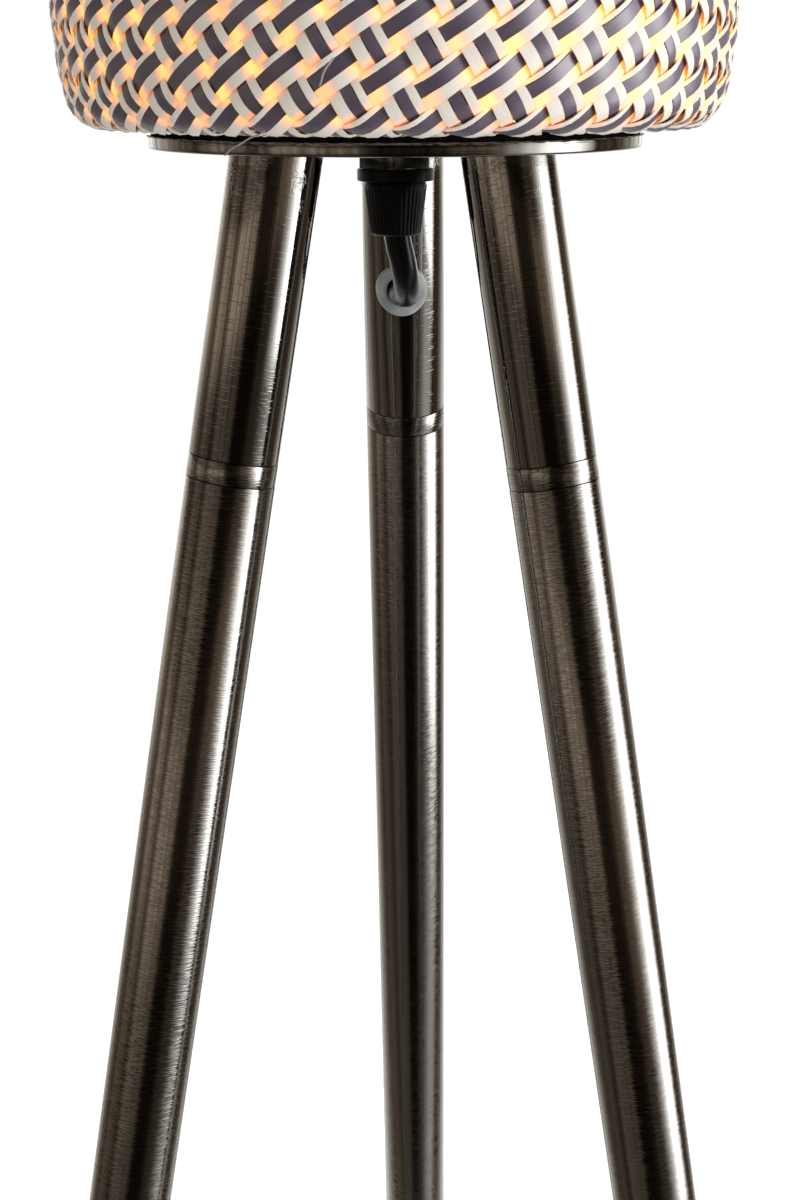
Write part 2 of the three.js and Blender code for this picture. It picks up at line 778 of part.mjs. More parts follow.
// Turns of the coil as seen from above: clockwise from the back, inwards on the floor, then outwards on top
function coilPoint(turn) {
  const half = coilTurns / 2;
  const outermost = coilMidRadius + (half * coilPitch) / 2;
  const radius = outermost - coilPitch * (half - Math.abs(turn - half));
  const climb = THREE.MathUtils.clamp((turn - half) * 2 + 1 / 2, 0, 1);
  const angle = Math.PI / 2 - 2 * Math.PI * turn;
  return new THREE.Vector3(
    coilPlace[0] + radius * Math.cos(angle),
    coilPlace[1] + radius * Math.sin(angle),
    coilLowerHeight + (coilUpperHeight - coilLowerHeight) * climb,
  );
}

function makeCoil() {
  const turns = Array.from({ length: coilTurns * coilSteps + 1 }, (_, i) => coilPoint(i / coilSteps));
  const first = turns[0].clone();
  const last = turns[turns.length - 1].clone();
  first.x -= coilStub;
  last.x += coilStub;
  const points = [first, ...turns, last];
  const route = new Route(points.map((point) => point.toArray()));
  addMesh(lamp, 'lead_coil', tubeAlong(route, leadRadius, coilSides, 1), 'lead');

  let least = Infinity;
  for (let i = 0; i < points.length; i += 1) {
    for (let j = i + coilSteps / 2; j < points.length; j += 1) {
      least = Math.min(least, points[i].distanceTo(points[j]) - 2 * leadRadius);
    }
  }
  console.log(`coil: least gap between turns ${least.toFixed(2)} mm`);
}

// A band round the coil's bundle on the side towards the lamp
function makeTie() {
  const turnsWide = ((coilTurns / 2) - 1) * coilPitch + coilPitch / 2;
  const halfWidth = turnsWide / 2 + leadRadius + 2 * seatGap;
  const halfHeight = coilPitch / 2 + leadRadius + seatGap;
  const band = new THREE.Shape(roundedBox(halfWidth + tieThickness, halfHeight + tieThickness));
  band.holes.push(new THREE.Path(roundedBox(halfWidth, halfHeight)));
  const tie = new THREE.ExtrudeGeometry(band, { depth: tieWidth, bevelEnabled: false });
  tie.translate(0, 0, -tieWidth / 2).rotateX(Math.PI / 2).rotateZ(-Math.PI / 2);
  const middle = coilMidRadius;
  addMesh(lamp, 'coil_tie', tie, 'blackPlastic')
    .position.set(coilPlace[0], coilPlace[1] - middle, (coilLowerHeight + coilUpperHeight) / 2);
}

function roundedBox(halfWidth, halfHeight) {
  const corner = leadRadius;
  const places = [[1, -1, -90], [1, 1, 0], [-1, 1, 90], [-1, -1, 180]];
  return places.flatMap(([x, y, from]) => arc(
    corner, x * (halfWidth - corner), y * (halfHeight - corner), from, from + 90, 3,
  ).map(([u, v]) => new THREE.Vector2(u, v)));
}

function makeSwitch() {
  const group = new THREE.Group();
  group.position.set(switchPlace[0], switchPlace[1], 0);
  lamp.add(group);

  const base = rod(switchRadius, 0, switchBaseHeight, switchSegments);
  const screwPlaces = [-screwSpacing / 2, screwSpacing / 2];
  const recesses = screwPlaces.flatMap((x) => [
    rod(screwHeadRadius + seatGap, -overrun, screwHeadHeight + 2 * seatGap, leadSides * 2).translate(x, 0, 0),
    rod(screwShankRadius + seatGap, 0, switchBaseHeight + overrun, leadSides * 2).translate(x, 0, 0),
  ]);
  // The collars for the lead grow out of the base and stay clear of the cover above it.
  const coverSpace = rod(
    switchRadius + seatGap, switchBaseHeight, switchBaseHeight + switchCoverHeight, switchSegments,
  );
  const collar = revolve([
    [0, switchRadius - switchCollarLength],
    [switchCollarRadius, switchRadius - switchCollarLength],
    [switchCollarRadius, switchRadius + switchCollarLength / 2],
    [switchCollarTip, switchRadius + switchCollarLength],
    [0, switchRadius + switchCollarLength],
  ], leadSides * 2).rotateX(-Math.PI / 2).translate(0, 0, switchCollarHeight);
  const collars = [collar, collar.clone().rotateZ(Math.PI)].map((piece) => cut(piece, coverSpace));
  addMesh(group, 'switch_base', cut(join(base, ...collars), ...recesses), 'blackPlastic');

  const screw = revolve([
    [0, seatGap],
    [screwHeadRadius, seatGap],
    [screwHeadRadius, seatGap + screwHeadHeight],
    [screwShankRadius, seatGap + screwHeadHeight],
    [screwShankRadius, switchBaseHeight - seatGap],
    [0, switchBaseHeight - seatGap],
  ], leadSides * 2);
  screwPlaces.forEach((x, i) => {
    addMesh(group, `switch_screw_${i + 1}`, screw, 'steel').position.x = x;
  });

  const bottom = switchBaseHeight + seatGap;
  const top = bottom + switchCoverHeight;
  const cover = revolve([
    [switchRadius - switchWall, bottom],
    [switchRadius, bottom],
    ...arc(switchWall * 2, switchRadius - switchWall * 2, bottom + switchCoverHeight / 3, 0, 50, 3),
    ...arc(switchWall, switchCoverTopRadius, top - switchWall, 60, 90, 2),
    [buttonRadius + seatGap, top],
    [buttonRadius + seatGap, top - switchWall],
    [switchCoverTopRadius - switchWall, top - switchWall],
    [switchRadius - 2 * switchWall, bottom + switchCoverHeight / 3],
    [switchRadius - switchWall, bottom + switchWall],
  ], switchSegments);
  addMesh(group, 'switch_cover', cover, 'blackPlastic');

  const flangeTop = top - switchWall - seatGap;
  const crown = top + buttonProud;
  const button = revolve([
    [0, flangeTop - buttonFlangeThickness],
    [buttonFlange, flangeTop - buttonFlangeThickness],
    [buttonFlange, flangeTop],
    [buttonRadius, flangeTop],
    [buttonRadius, crown - buttonCrown],
    [buttonRadius - buttonCrown, crown],
    [0, crown],
  ], switchSegments);
  addMesh(group, 'switch_button', button, 'greyRubber');
}

function makePlug() {
  const group = new THREE.Group();
  group.position.set(plugPlace[0], plugPlace[1], plugHeight);
  lamp.add(group);

  const waist = plugBackWidth / 2 - plugBevel;
  const face = plugWidth / 2 - plugBevel;
  const outline = new THREE.Shape();
  outline.moveTo(-waist, plugBevel);
  outline.lineTo(waist, plugBevel);
  outline.quadraticCurveTo(face, plugDepth / 4, face, plugDepth / 2);
  outline.lineTo(face, plugDepth - plugBevel);
  outline.lineTo(-face, plugDepth - plugBevel);
  outline.lineTo(-face, plugDepth / 2);
  outline.quadraticCurveTo(-face, plugDepth / 4, -waist, plugBevel);
  const body = new THREE.ExtrudeGeometry(outline, {
    depth: plugThickness - 2 * plugBevel,
    bevelThickness: plugBevel,
    bevelSize: plugBevel,
    bevelSegments: 2,
    curveSegments: 5,
  });
  body.translate(0, -plugDepth - plugSleeve, plugBevel - plugThickness / 2);
  body.rotateZ(Math.PI).translate(0, -2 * plugSleeve - plugDepth, 0);
  const sleevePart = revolve([
    [0, 0],
    [plugSleeveTip, 0],
    [plugSleeveRadius, -plugSleeve - plugBevel],
    [0, -plugSleeve - plugBevel],
  ].reverse(), bootSegments).rotateX(-Math.PI / 2);
  const faceY = -plugSleeve - plugDepth;
  const pinPlaces = [-pinSpacing / 2, pinSpacing / 2];
  const sockets = pinPlaces.map((x) => rod(pinRadius + seatGap, 0, pinSeat + overrun, bootSegments)
    .rotateX(-Math.PI / 2).translate(x, faceY - overrun, 0));
  addMesh(group, 'plug_body', cut(join(body, sleevePart), ...sockets), 'blackPlastic');

  const pin = rod(pinRadius, -pinLength, pinSeat - seatGap, bootSegments).rotateX(-Math.PI / 2);
  pinPlaces.forEach((x, i) => {
    addMesh(group, `plug_pin_${i + 1}`, pin, 'steel').position.set(x, faceY, 0);
  });
}

makeFreeLead();
makeCoil();
makeTie();
makeSwitch();
makePlug();

export default lamp;
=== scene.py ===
"""Dresses a tripod floor lamp with a lit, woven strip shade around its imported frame."""
import json
import math
from functools import cache

import bmesh
import bpy
import numpy as np
from bpy.props import FloatProperty, FloatVectorProperty, PointerProperty
from mathutils import Matrix, Vector

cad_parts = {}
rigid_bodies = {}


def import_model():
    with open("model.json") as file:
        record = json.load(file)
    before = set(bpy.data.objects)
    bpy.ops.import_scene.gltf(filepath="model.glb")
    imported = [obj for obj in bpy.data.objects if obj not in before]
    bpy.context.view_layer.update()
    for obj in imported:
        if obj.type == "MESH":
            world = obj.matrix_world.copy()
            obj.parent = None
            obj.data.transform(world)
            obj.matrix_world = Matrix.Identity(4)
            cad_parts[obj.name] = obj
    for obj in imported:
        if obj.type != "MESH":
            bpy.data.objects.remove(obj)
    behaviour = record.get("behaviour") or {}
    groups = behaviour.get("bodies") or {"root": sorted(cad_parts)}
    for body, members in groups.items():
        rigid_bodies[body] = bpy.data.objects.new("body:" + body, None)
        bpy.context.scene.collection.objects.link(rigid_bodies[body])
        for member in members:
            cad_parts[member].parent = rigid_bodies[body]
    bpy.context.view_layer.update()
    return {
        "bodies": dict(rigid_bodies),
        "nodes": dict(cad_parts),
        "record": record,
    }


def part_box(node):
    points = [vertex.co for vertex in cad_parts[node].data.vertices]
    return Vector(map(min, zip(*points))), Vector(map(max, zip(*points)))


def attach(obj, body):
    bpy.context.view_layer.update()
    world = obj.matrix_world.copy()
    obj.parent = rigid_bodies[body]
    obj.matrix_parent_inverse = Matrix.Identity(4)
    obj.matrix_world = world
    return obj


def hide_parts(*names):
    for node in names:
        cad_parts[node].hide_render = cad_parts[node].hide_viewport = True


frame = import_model()

bl_info = {
    "name": "Woven Tripod Lamp",
    "version": (1, 0, 0),
    "blender": (4, 5, 0),
    "location": "3D View > Sidebar > Lamp",
    "description": "Woven lit shade, brushed nickel tripod, lead, foot switch and plug of a floor lamp",
    "category": "Object",
}

TURN = 2 * math.pi

# Two pieces of the scene that would share a face lie this far apart
TOUCH = 0.00005

# The record says which body each node has.
BODIES = {
    node: body
    for body, nodes in frame["record"]["behaviour"]["bodies"].items()
    for node in nodes
}

# Tripod, as in the frame
SIDES = ("rear", "left", "right")
TUBE_RADIUS = 0.0111
TUBE_WALL = 0.0012
TUBE_BORE = TUBE_RADIUS - TUBE_WALL
TUBE_LENGTH = 0.44
TUBE_EDGE = 0.00012
TUBE_STEPS = 128
STUB_LENGTH = 0.0738
RING_HEIGHT = 0.0052
SEAT_GAP = 0.0003
SEAM_FILL = 0.0001
SPIGOT_LENGTH = 0.02
SPIGOT_WALL = 0.0025
CONNECTOR_STATION = STUB_LENGTH + SEAT_GAP
UPPER_TUBE_STATION = CONNECTOR_STATION + RING_HEIGHT + SEAT_GAP
COUPLING_STATION = UPPER_TUBE_STATION + TUBE_LENGTH + SEAT_GAP
LOWER_TUBE_STATION = COUPLING_STATION + RING_HEIGHT + SEAT_GAP
LEG_LENGTH = LOWER_TUBE_STATION + TUBE_LENGTH
GROMMET_STATION = 0.0368
BOOT_STATION = LEG_LENGTH - 0.03
BOOT_LENGTH = 0.026

# Lead, the nipple that it passes, the lampholder and the shade's wire
LEAD_RADIUS = 0.0033
NIPPLE_HOLE = 0.0053
HOLDER_RADIUS = 0.0174
HOLDER_WALL = 0.002
RING_WIRE = 0.00175


def corners(node):
    """Lowest and highest corner of a node of the frame."""
    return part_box(node)


def middle(node):
    """Middle of a node's box."""
    low, high = corners(node)
    return (low + high) / 2


PLATE_LOW, PLATE_HIGH = corners("plate")
AXIS = middle("plate").to_2d().to_3d()
PLATE_RADIUS = (PLATE_HIGH.x - PLATE_LOW.x) / 2


class Family:
    """The strips of the weave that slant one way, in groups of three. Places in the weave are a turn
    round the axis and a climb, the way up the shade's outline as a share of its radius."""

    def __init__(self, groups, slant, start, middle, sway):
        self.groups = groups
        self.slant = slant
        self.start = start
        self.middle = middle
        self.sway = sway

    def wander(self, turn):
        """How far hand weaving leads the groups astray."""
        return sum(size * math.sin(times * turn + delay) for times, size, delay in self.sway)

    def phase_at(self, turn, climb):
        """Number of the group at a place. Its fraction is the place within the group."""
        return self.groups * (turn - self.slant * climb) / TURN + self.start + self.wander(turn)

    def turn_at(self, phase, climb):
        rough = TURN * (phase - self.start) / self.groups + self.slant * climb
        return rough - TURN * self.wander(rough) / self.groups


# middle is where the middle of the dark strip lies in a group
RISING = Family(44, 1.478, 0.272, -0.109, ((3, 0.069, 0.087), (7, 0.051, 1.274)))
FALLING = Family(46, -0.611, 1.608, 0.095, ((3, 0.095, 0.388), (7, 0.074, -1.665)))
SHADE_BOTTOM = corners("shade_weave")[0].z
RIM_LIFT = 0.0006


# Shader graphs


class Value:
    """A shader socket that can be used in sums."""

    def __init__(self, graph, socket):
        self.graph = graph
        self.socket = socket

    def math(self, operation, *values):
        return self.graph.add("Math", {"operation": operation}, dict(enumerate(values)))

    def __add__(self, other):
        return self.math("ADD", self, other)

    __radd__ = __add__

    def __sub__(self, other):
        return self.math("SUBTRACT", self, other)

    def __rsub__(self, other):
        return self.math("SUBTRACT", other, self)

    def __mul__(self, other):
        return self.math("MULTIPLY", self, other)

    __rmul__ = __mul__

    def __truediv__(self, other):
        return self.math("DIVIDE", self, other)

    def __abs__(self):
        return self.math("ABSOLUTE", self)

    def fraction(self):
        """What is left of the value past the whole number below it."""
        return self.math("FRACT", self)

    def rise(self, low, high):
        """0 below low, 1 above high and a smooth step between them."""
        smooth = {"interpolation_type": "SMOOTHSTEP"}
        return self.graph.add("MapRange", smooth, {"Value": self, "From Min": low, "From Max": high})


class Graph:
    """The nodes of one material, or of the world."""

    def __init__(self, owner):
        owner.use_nodes = True
        self.tree = owner.node_tree
        self.tree.nodes.clear()

    def add(self, kind, settings=None, inputs=None, output=0):
        node = self.tree.nodes.new("ShaderNode" + kind)
        for name, value in (settings or {}).items():
            if name == "stops":
                self.set_stops(node.color_ramp, value)
            else:
                setattr(node, name, value)
        for name, value in (inputs or {}).items():
            if isinstance(value, Value):
                self.tree.links.new(value.socket, node.inputs[name])
            else:
                node.inputs[name].default_value = value
        return Value(self, node.outputs[output])

    @staticmethod
    def set_stops(ramp, stops):
        """Gives a colour ramp its stops, a list of (position, colour)."""
        while len(ramp.elements) < len(stops):
            ramp.elements.new(1)
        for element, (position, colour) in zip(ramp.elements, stops):
            element.position = position
            element.color = (*colour, 1)

    def ramp(self, factor, stops):
        return self.add("ValToRGB", {"stops": stops}, {"Fac": factor})

    def blend(self, factor, first, second):
        """Mixes two colours."""
        inputs = {0: factor, 6: colour(first), 7: colour(second)}
        return self.add("Mix", {"data_type": "RGBA"}, inputs, output=2)

    def scaled_colour(self, factor, value):
        return self.add("VectorMath", {"operation": "SCALE"}, {0: value, "Scale": factor})

    def place(self):
        """Object coordinates, in metres."""
        return self.add("TexCoord", output=3)

    def uv(self, name):
        return self.add("UVMap", {"uv_map": name})

    def part(self, vector, number):
        """One of a vector's three numbers."""
        return self.add("SeparateXYZ", None, {0: vector}, output=number)

    def attribute(self, name):
        """The three numbers of a vertex attribute."""
        vector = self.add("Attribute", {"attribute_name": name}, output=1)
        return [self.part(vector, number) for number in range(3)]

    def vector(self, x, y=0.0, z=0.0):
        return self.add("CombineXYZ", None, {0: x, 1: y, 2: z})

    def scaled(self, vector, scale):
        return self.add("Mapping", None, {"Vector": vector, "Scale": scale})

    def noise(self, vector, scale, detail=2.0, roughness=0.5):
        inputs = {"Vector": vector, "Scale": scale, "Detail": detail, "Roughness": roughness}
        return self.add("TexNoise", None, inputs)

    def bump(self, height, strength, distance):
        inputs = {"Height": height, "Strength": strength, "Distance": distance}
        return self.add("Bump", None, inputs)

    def principled(self, **inputs):
        """A surface. Its inputs are named as the shader's sockets are, in small letters."""
        named = {}
        for name, value in inputs.items():
            named[name.replace("_", " ").title().replace("Ior", "IOR")] = colour(value)
        return self.add("BsdfPrincipled", None, named)

    def surface(self, shader, output="OutputMaterial"):
        """Links a shader to the output of the material, or of the world."""
        node = self.tree.nodes.new("ShaderNode" + output)
        self.tree.links.new(shader.socket, node.inputs["Surface"])


def colour(value):
    """Three numbers as the four that a colour socket takes. Anything else stays as it is."""
    return (*value, 1) if isinstance(value, (tuple, list)) and len(value) == 3 else value


@cache
def finished(recipe):
    """The material that a recipe describes, made once."""
    material = bpy.data.materials.new(recipe.__name__)
    graph = Graph(material)
    graph.surface(recipe(graph))
    return material


def settings():
    """What the user can change in the panel."""
    return bpy.context.scene.woven_lamp


# Finishes


def brushed_metal(graph, spread, smooth, rough, scratched, depth, tone=1.0, marks=None):
    """Nickel with fine lines brushed round it. spread is how far the colour of its lines varies,
    scratched is the level of noise from which a line is a dull scratch, depth is the scratches' depth,
    and marks are blemishes that rise above them."""
    uv = graph.uv("around")
    fine = graph.noise(graph.scaled(uv, (26.0, 3000.0, 1.0)), 1.0, 0.0)
    coarse = graph.noise(graph.scaled(uv, (9.0, 1500.0, 1.0)), 1.0, 1.0)
    lines = fine * 0.6 + coarse * 0.4
    scratches = lines.rise(scratched, scratched + 0.16)
    blotches = graph.noise(graph.scaled(uv, (3.0, 25.0, 1.0)), 1.0, 3.0)
    light, dark = ([tone * (1 + side * spread) * c for c in settings().nickel] for side in (1, -1))
    roughness = smooth + (rough - smooth) * scratches
    height = scratches
    if marks:
        roughness = roughness + marks * 0.25
        height = scratches + marks * 3.0
    return graph.principled(
        base_color=graph.blend(lines * 0.7 + blotches * 0.3, dark, light),
        metallic=1.0,
        roughness=roughness,
        normal=graph.bump(height, 0.5, depth),
    )


def brushed_nickel(graph):
    return brushed_metal(graph, spread=0.24, smooth=0.09, rough=0.2, scratched=0.46, depth=0.00004)


def plate_nickel(graph):
    return brushed_metal(
        graph, spread=0.1, smooth=0.05, rough=0.14, scratched=0.56, depth=0.00002, tone=0.7,
    )


def welded_nickel(graph):
    """Polished nickel, specked where a weld below the plate was dressed."""
    place = graph.place()
    near = graph.part(place, 2).rise(PLATE_LOW.z - 0.02, PLATE_LOW.z - 0.002)
    specks = graph.noise(place, 1700.0, 3.0, 0.6).rise(0.45, 0.7)
    patches = graph.noise(place, 150.0, 2.0).rise(0.47, 0.62)
    marks = near * specks * patches
    return brushed_metal(
        graph, spread=0.1, smooth=0.04, rough=0.14, scratched=0.56, depth=0.00003, marks=marks,
    )


def painted_shadow_black(graph):
    """A thin matt black pad between the plate and the shade. It is painted shadow: a dark sheet that
    stands for the shadow gap under the shade.
    """
    pad_noise = graph.noise(graph.place(), 900.0, 4.0)
    return graph.principled(
        base_color=graph.blend(pad_noise, (0.003, 0.003, 0.003), (0.01, 0.009, 0.009)),
        roughness=1.0,
        specular_ior_level=0.0,
        normal=graph.bump(pad_noise, 0.4, 0.0002),
    )


def turned_steel(graph):
    place = graph.place()
    grain = graph.noise(place, 1500.0, 2.0)
    return graph.principled(
        base_color=graph.blend(grain, (0.075, 0.072, 0.066), (0.16, 0.156, 0.148)),
        metallic=1.0,
        roughness=0.14 + 0.12 * grain,
        normal=graph.bump(grain, 0.15, 0.00005),
    )


def bright_steel(graph):
    grain = graph.noise(graph.scaled(graph.place(), (1.0, 1.0, 14.0)), 300.0, 2.0)
    return graph.principled(
        base_color=graph.blend(grain, (0.42, 0.42, 0.42), (0.6, 0.6, 0.59)),
        metallic=1.0,
        roughness=0.2 + 0.15 * grain,
    )


def brass(graph):
    grain = graph.noise(graph.place(), 600.0, 2.0)
    return graph.principled(
        base_color=graph.blend(grain, (0.5, 0.34, 0.13), (0.68, 0.49, 0.21)),
        metallic=1.0,
        roughness=0.22 + 0.12 * grain,
    )


def moulded_black(graph):
    """Black plastic with the faint sparkle of a spark-eroded mould."""
    place = graph.place()
    grain = graph.noise(place, 2600.0, 2.0)
    smudge = graph.noise(place, 90.0, 3.0)
    return graph.principled(
        base_color=graph.blend(smudge, (0.0015, 0.0015, 0.002), (0.004, 0.004, 0.0045)),
        roughness=0.36 + 0.14 * smudge,
        ior=1.28,
        normal=graph.bump(grain, 0.12, 0.00006),
    )


def grey_rubber(graph):
    place = graph.place()
    grain = graph.noise(place, 1900.0, 3.0)
    smudge = graph.noise(place, 160.0, 3.0)
    return graph.principled(
        base_color=graph.blend(smudge.rise(0.3, 0.7), (0.22, 0.225, 0.21), (0.36, 0.365, 0.35)),
        roughness=0.42 + 0.2 * smudge,
        normal=graph.bump(grain, 0.2, 0.00006),
    )


def black_rubber(graph):
    place = graph.place()
    grain = graph.noise(place, 2200.0, 3.0)
    dust = graph.noise(place, 120.0, 4.0)
    return graph.principled(
        base_color=graph.blend(dust.rise(0.45, 0.8), (0.012, 0.012, 0.012), (0.035, 0.034, 0.032)),
        roughness=0.62 + 0.2 * dust,
        normal=graph.bump(grain, 0.3, 0.00008),
    )


def lead_sheath(graph):
    place = graph.place()
    grain = graph.noise(place, 1400.0, 2.0)
    smudge = graph.noise(place, 45.0, 3.0)
    return graph.principled(
        base_color=graph.blend(smudge, (0.002, 0.002, 0.0025), (0.005, 0.005, 0.006)),
        roughness=0.2 + 0.12 * smudge,
        ior=1.31,
        normal=graph.bump(grain, 0.1, 0.00005),
    )


def core_sheath(graph):
    grain = graph.noise(graph.place(), 900.0, 2.0)
    return graph.principled(
        base_color=graph.blend(grain, (0.19, 0.07, 0.025), (0.26, 0.11, 0.04)),
        roughness=0.4,
    )


def glazed_white(graph):
    speckle = graph.noise(graph.place(), 500.0, 4.0)
    return graph.principled(
        base_color=graph.blend(speckle, (0.72, 0.7, 0.66), (0.8, 0.79, 0.76)),
        roughness=0.15 + 0.1 * speckle,
    )


def cream_paint(graph):
    grain = graph.noise(graph.place(), 700.0, 3.0)
    return graph.principled(
        base_color=graph.blend(grain, (0.6, 0.57, 0.5), (0.72, 0.69, 0.62)),
        roughness=0.35 + 0.15 * grain,
        normal=graph.bump(grain, 0.15, 0.00006),
    )


def lit_opal(graph):
    """Opal glass with a warm lamp inside."""
    mist = graph.noise(graph.place(), 60.0, 3.0)
    return graph.principled(
        base_color=(0.9, 0.86, 0.78),
        roughness=0.2,
        emission_color=graph.blend(mist, (1.0, 0.66, 0.34), (1.0, 0.78, 0.5)),
        emission_strength=1.2,
    )


def strip_grain(graph):
    """Fibres that run the length of a split strip."""
    across, along, number = graph.attribute("strip")
    return graph.noise(graph.vector(across * 9.0, along * 1.2, number * 40.0), 1.0, 3.0)


def strip_tone(graph):
    """How light or dark a strip is as a whole."""
    number = graph.attribute("strip")[2]
    return graph.noise(graph.vector(number * 91.7), 1.0, 0.0)


def painted_light_behind(graph, dark_middle, low, high):
    """How much painted glow a place gets: how clear it is of the dark strips that cross behind it. The
    glow fades out towards the shade's bottom edge, as painted shade on the dim underside. low and high
    are distances from the dark strip's middle, as shares of its group. The crossing attribute is the
    place in the other family's groups."""
    crossing = graph.attribute("crossing")[0]
    stray = graph.noise(graph.place(), 160.0, 1.0) * 0.3 - 0.15
    distance = abs((crossing - dark_middle + 0.5).fraction() - 0.5) + stray
    height = graph.part(graph.place(), 2)
    return distance.rise(low, high) * height.rise(SHADE_BOTTOM + 0.0008, SHADE_BOTTOM + 0.004)


# Painted glow for the lamp's light through a strip, from none to all of it: red brown, orange, then amber
PAINTED_GLOW = [
    (0.0, (0.02, 0.004, 0.0)),
    (0.16, (0.18, 0.018, 0.0)),
    (0.36, (0.46, 0.08, 0.0)),
    (0.6, (0.65, 0.22, 0.005)),
    (0.82, (0.76, 0.38, 0.02)),
    (1.0, (0.87, 0.52, 0.05)),
]


def cream_strip(graph, dark_middle, low, high, strength):
    """A pale strip with painted light. An emission and a warmer base colour stand for the lamp behind it
    shining through where only pale strips cross it.
    """
    grain = strip_grain(graph)
    tone = strip_tone(graph)
    cream = graph.blend(grain * 0.55 + tone * 0.45, (0.52, 0.475, 0.38), (0.8, 0.75, 0.64))
    patches = graph.noise(graph.place(), 75.0, 2.0).rise(0.2, 0.75)
    # Painted light: the strip glows, and its colour turns orange, where the lamp would shine through it
    painted_glow = painted_light_behind(graph, dark_middle, low, high) * (0.55 + patches * 0.45) * strength
    return graph.principled(
        base_color=graph.blend(painted_glow, cream, (0.7, 0.5, 0.31)),
        roughness=0.4 + 0.2 * grain,
        normal=graph.bump(grain, 0.2, 0.00008),
        emission_color=graph.ramp(painted_glow, PAINTED_GLOW),
        emission_strength=1.0,
    )


def cream_rising_low(graph):
    return cream_strip(graph, FALLING.middle, 0.08, 0.42, 1.0)


def cream_rising_high(graph):
    return cream_strip(graph, FALLING.middle, 0.12, 0.46, 0.85)


def cream_falling(graph):
    return cream_strip(graph, RISING.middle, 0.22, 0.56, 0.8)


def dark_strip(graph):
    """A dyed strip, purple grey with a satin skin."""
    grain = strip_grain(graph)
    tone = strip_tone(graph)
    shade = grain * 0.6 + tone * 0.4
    return graph.principled(
        base_color=graph.blend(shade, (0.021, 0.013, 0.028), (0.108, 0.078, 0.114)),
        roughness=0.38 + 0.14 * grain,
        ior=2.2,
        normal=graph.bump(grain, 0.16, 0.00008),
    )


def raw_fibre(graph):
    streak = graph.noise(graph.place(), 700.0, 2.0)
    return graph.principled(
        base_color=graph.blend(streak, (0.2, 0.17, 0.16), (0.36, 0.31, 0.28)),
        roughness=0.5,
    )


# Modelling helpers


def revolve(profile, steps=96):
    """Spins (radius, height) pairs about Z into a closed mesh."""
    bm = bmesh.new()
    points = [bm.verts.new((radius, 0, height)) for radius, height in profile]
    lines = [bm.edges.new(pair) for pair in zip(points, points[1:])]
    if profile[0][0] > 0:
        lines.append(bm.edges.new((points[-1], points[0])))
    bmesh.ops.spin(
        bm, geom=points + lines, axis=(0, 0, 1), cent=(0, 0, 0), dvec=(0, 0, 0),
        angle=TURN, steps=steps, use_merge=True, use_duplicate=False,
    )
    bmesh.ops.remove_doubles(bm, verts=bm.verts, dist=1e-7)
    bmesh.ops.recalc_face_normals(bm, faces=bm.faces)
    return bm


def sleeve(inner, outer, bottom, top):
    """Profile of a tube."""
    return [(inner, bottom), (outer, bottom), (outer, top), (inner, top)]


def rod(radius, bottom, top):
    """Profile of a solid cylinder."""
    return [(0, bottom), (radius, bottom), (radius, top), (0, top)]


def straight(start, end, steps):
    """Points of a straight stretch, with both its ends."""
    shares = [i / steps for i in range(steps + 1)]
    return [(start[0] + (end[0] - start[0]) * s, start[1] + (end[1] - start[1]) * s) for s in shares]


def arc(radius, centre, start, end, steps):
    """Points of a round corner, angles in degrees."""
    angles = (math.radians(start + (end - start) * i / steps) for i in range(steps + 1))
    return [(centre[0] + radius * math.cos(a), centre[1] + radius * math.sin(a)) for a in angles]


def soften(bm, width, segments=2, angle=30):
    """Rounds the edges where two faces meet at more than an angle in degrees."""
    limit = math.radians(angle)
    edges = [edge for edge in bm.edges if edge.is_manifold and edge.calc_face_angle() > limit]
    bmesh.ops.bevel(
        bm, geom=edges, offset=width, offset_type="OFFSET", segments=segments,
        profile=0.5, affect="EDGES", clamp_overlap=True, material=-1,
    )
    return bm


def cut_level(bm, height, side):
    """Takes off what lies above a height, or below it where side is -1, and gives the open edges."""
    everything = bm.verts[:] + bm.edges[:] + bm.faces[:]
    bmesh.ops.bisect_plane(
        bm, geom=everything, plane_co=(0, 0, height), plane_no=(0, 0, side), clear_outer=True,
    )
    return [edge for edge in bm.edges if edge.is_boundary]


def unwrap_around(bm):
    """UVs of a turned piece: once round in U, and along its outline in V, in metres."""
    layer = bm.loops.layers.uv.new("around")
    for face in bm.faces:
        centre = face.calc_center_median()
        side = math.atan2(centre.y, centre.x) / TURN
        for loop in face.loops:
            co = loop.vert.co
            turn = math.atan2(co.y, co.x) / TURN
            turn += round(side - turn)
            loop[layer].uv = (turn, co.z + math.hypot(co.x, co.y))
    return bm


def add_piece(name, bm, recipe, *nodes, like=None, matrix=None, sharp=35):
    """Makes a mesh a piece of the lamp that stands for nodes of the frame. The first of them, or the node
    that it is like, gives it its body."""
    if matrix:
        bm.transform(matrix)
    mesh = bpy.data.meshes.new(name)
    bm.to_mesh(mesh)
    bm.free()
    mesh.shade_smooth()
    mesh.set_sharp_from_angle(angle=math.radians(sharp))
    mesh.materials.append(finished(recipe))
    piece = bpy.data.objects.new(name, mesh)
    return settle(piece, *nodes, like=like)


def settle(piece, *nodes, like=None):
    """Links a piece, and lets it ride and stand for its nodes."""
    model = like or nodes[0]
    bpy.context.scene.collection.objects.link(piece)
    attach(piece, BODIES[model])
    if nodes:
        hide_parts(*nodes)
    return piece


def dress(node, recipe):
    """Gives a node that stays visible its finish."""
    piece = frame["nodes"][node]
    piece.data.materials.clear()
    piece.data.materials.append(finished(recipe))
    return piece


def merged_copy(node):
    """A copy of a node's mesh with its loose triangles joined and its flat faces whole."""
    bm = bmesh.new()
    bm.from_mesh(frame["nodes"][node].data)
    bmesh.ops.remove_doubles(bm, verts=bm.verts, dist=1e-6)
    bmesh.ops.dissolve_limit(bm, angle_limit=math.radians(1), verts=bm.verts, edges=bm.edges)
    return bm


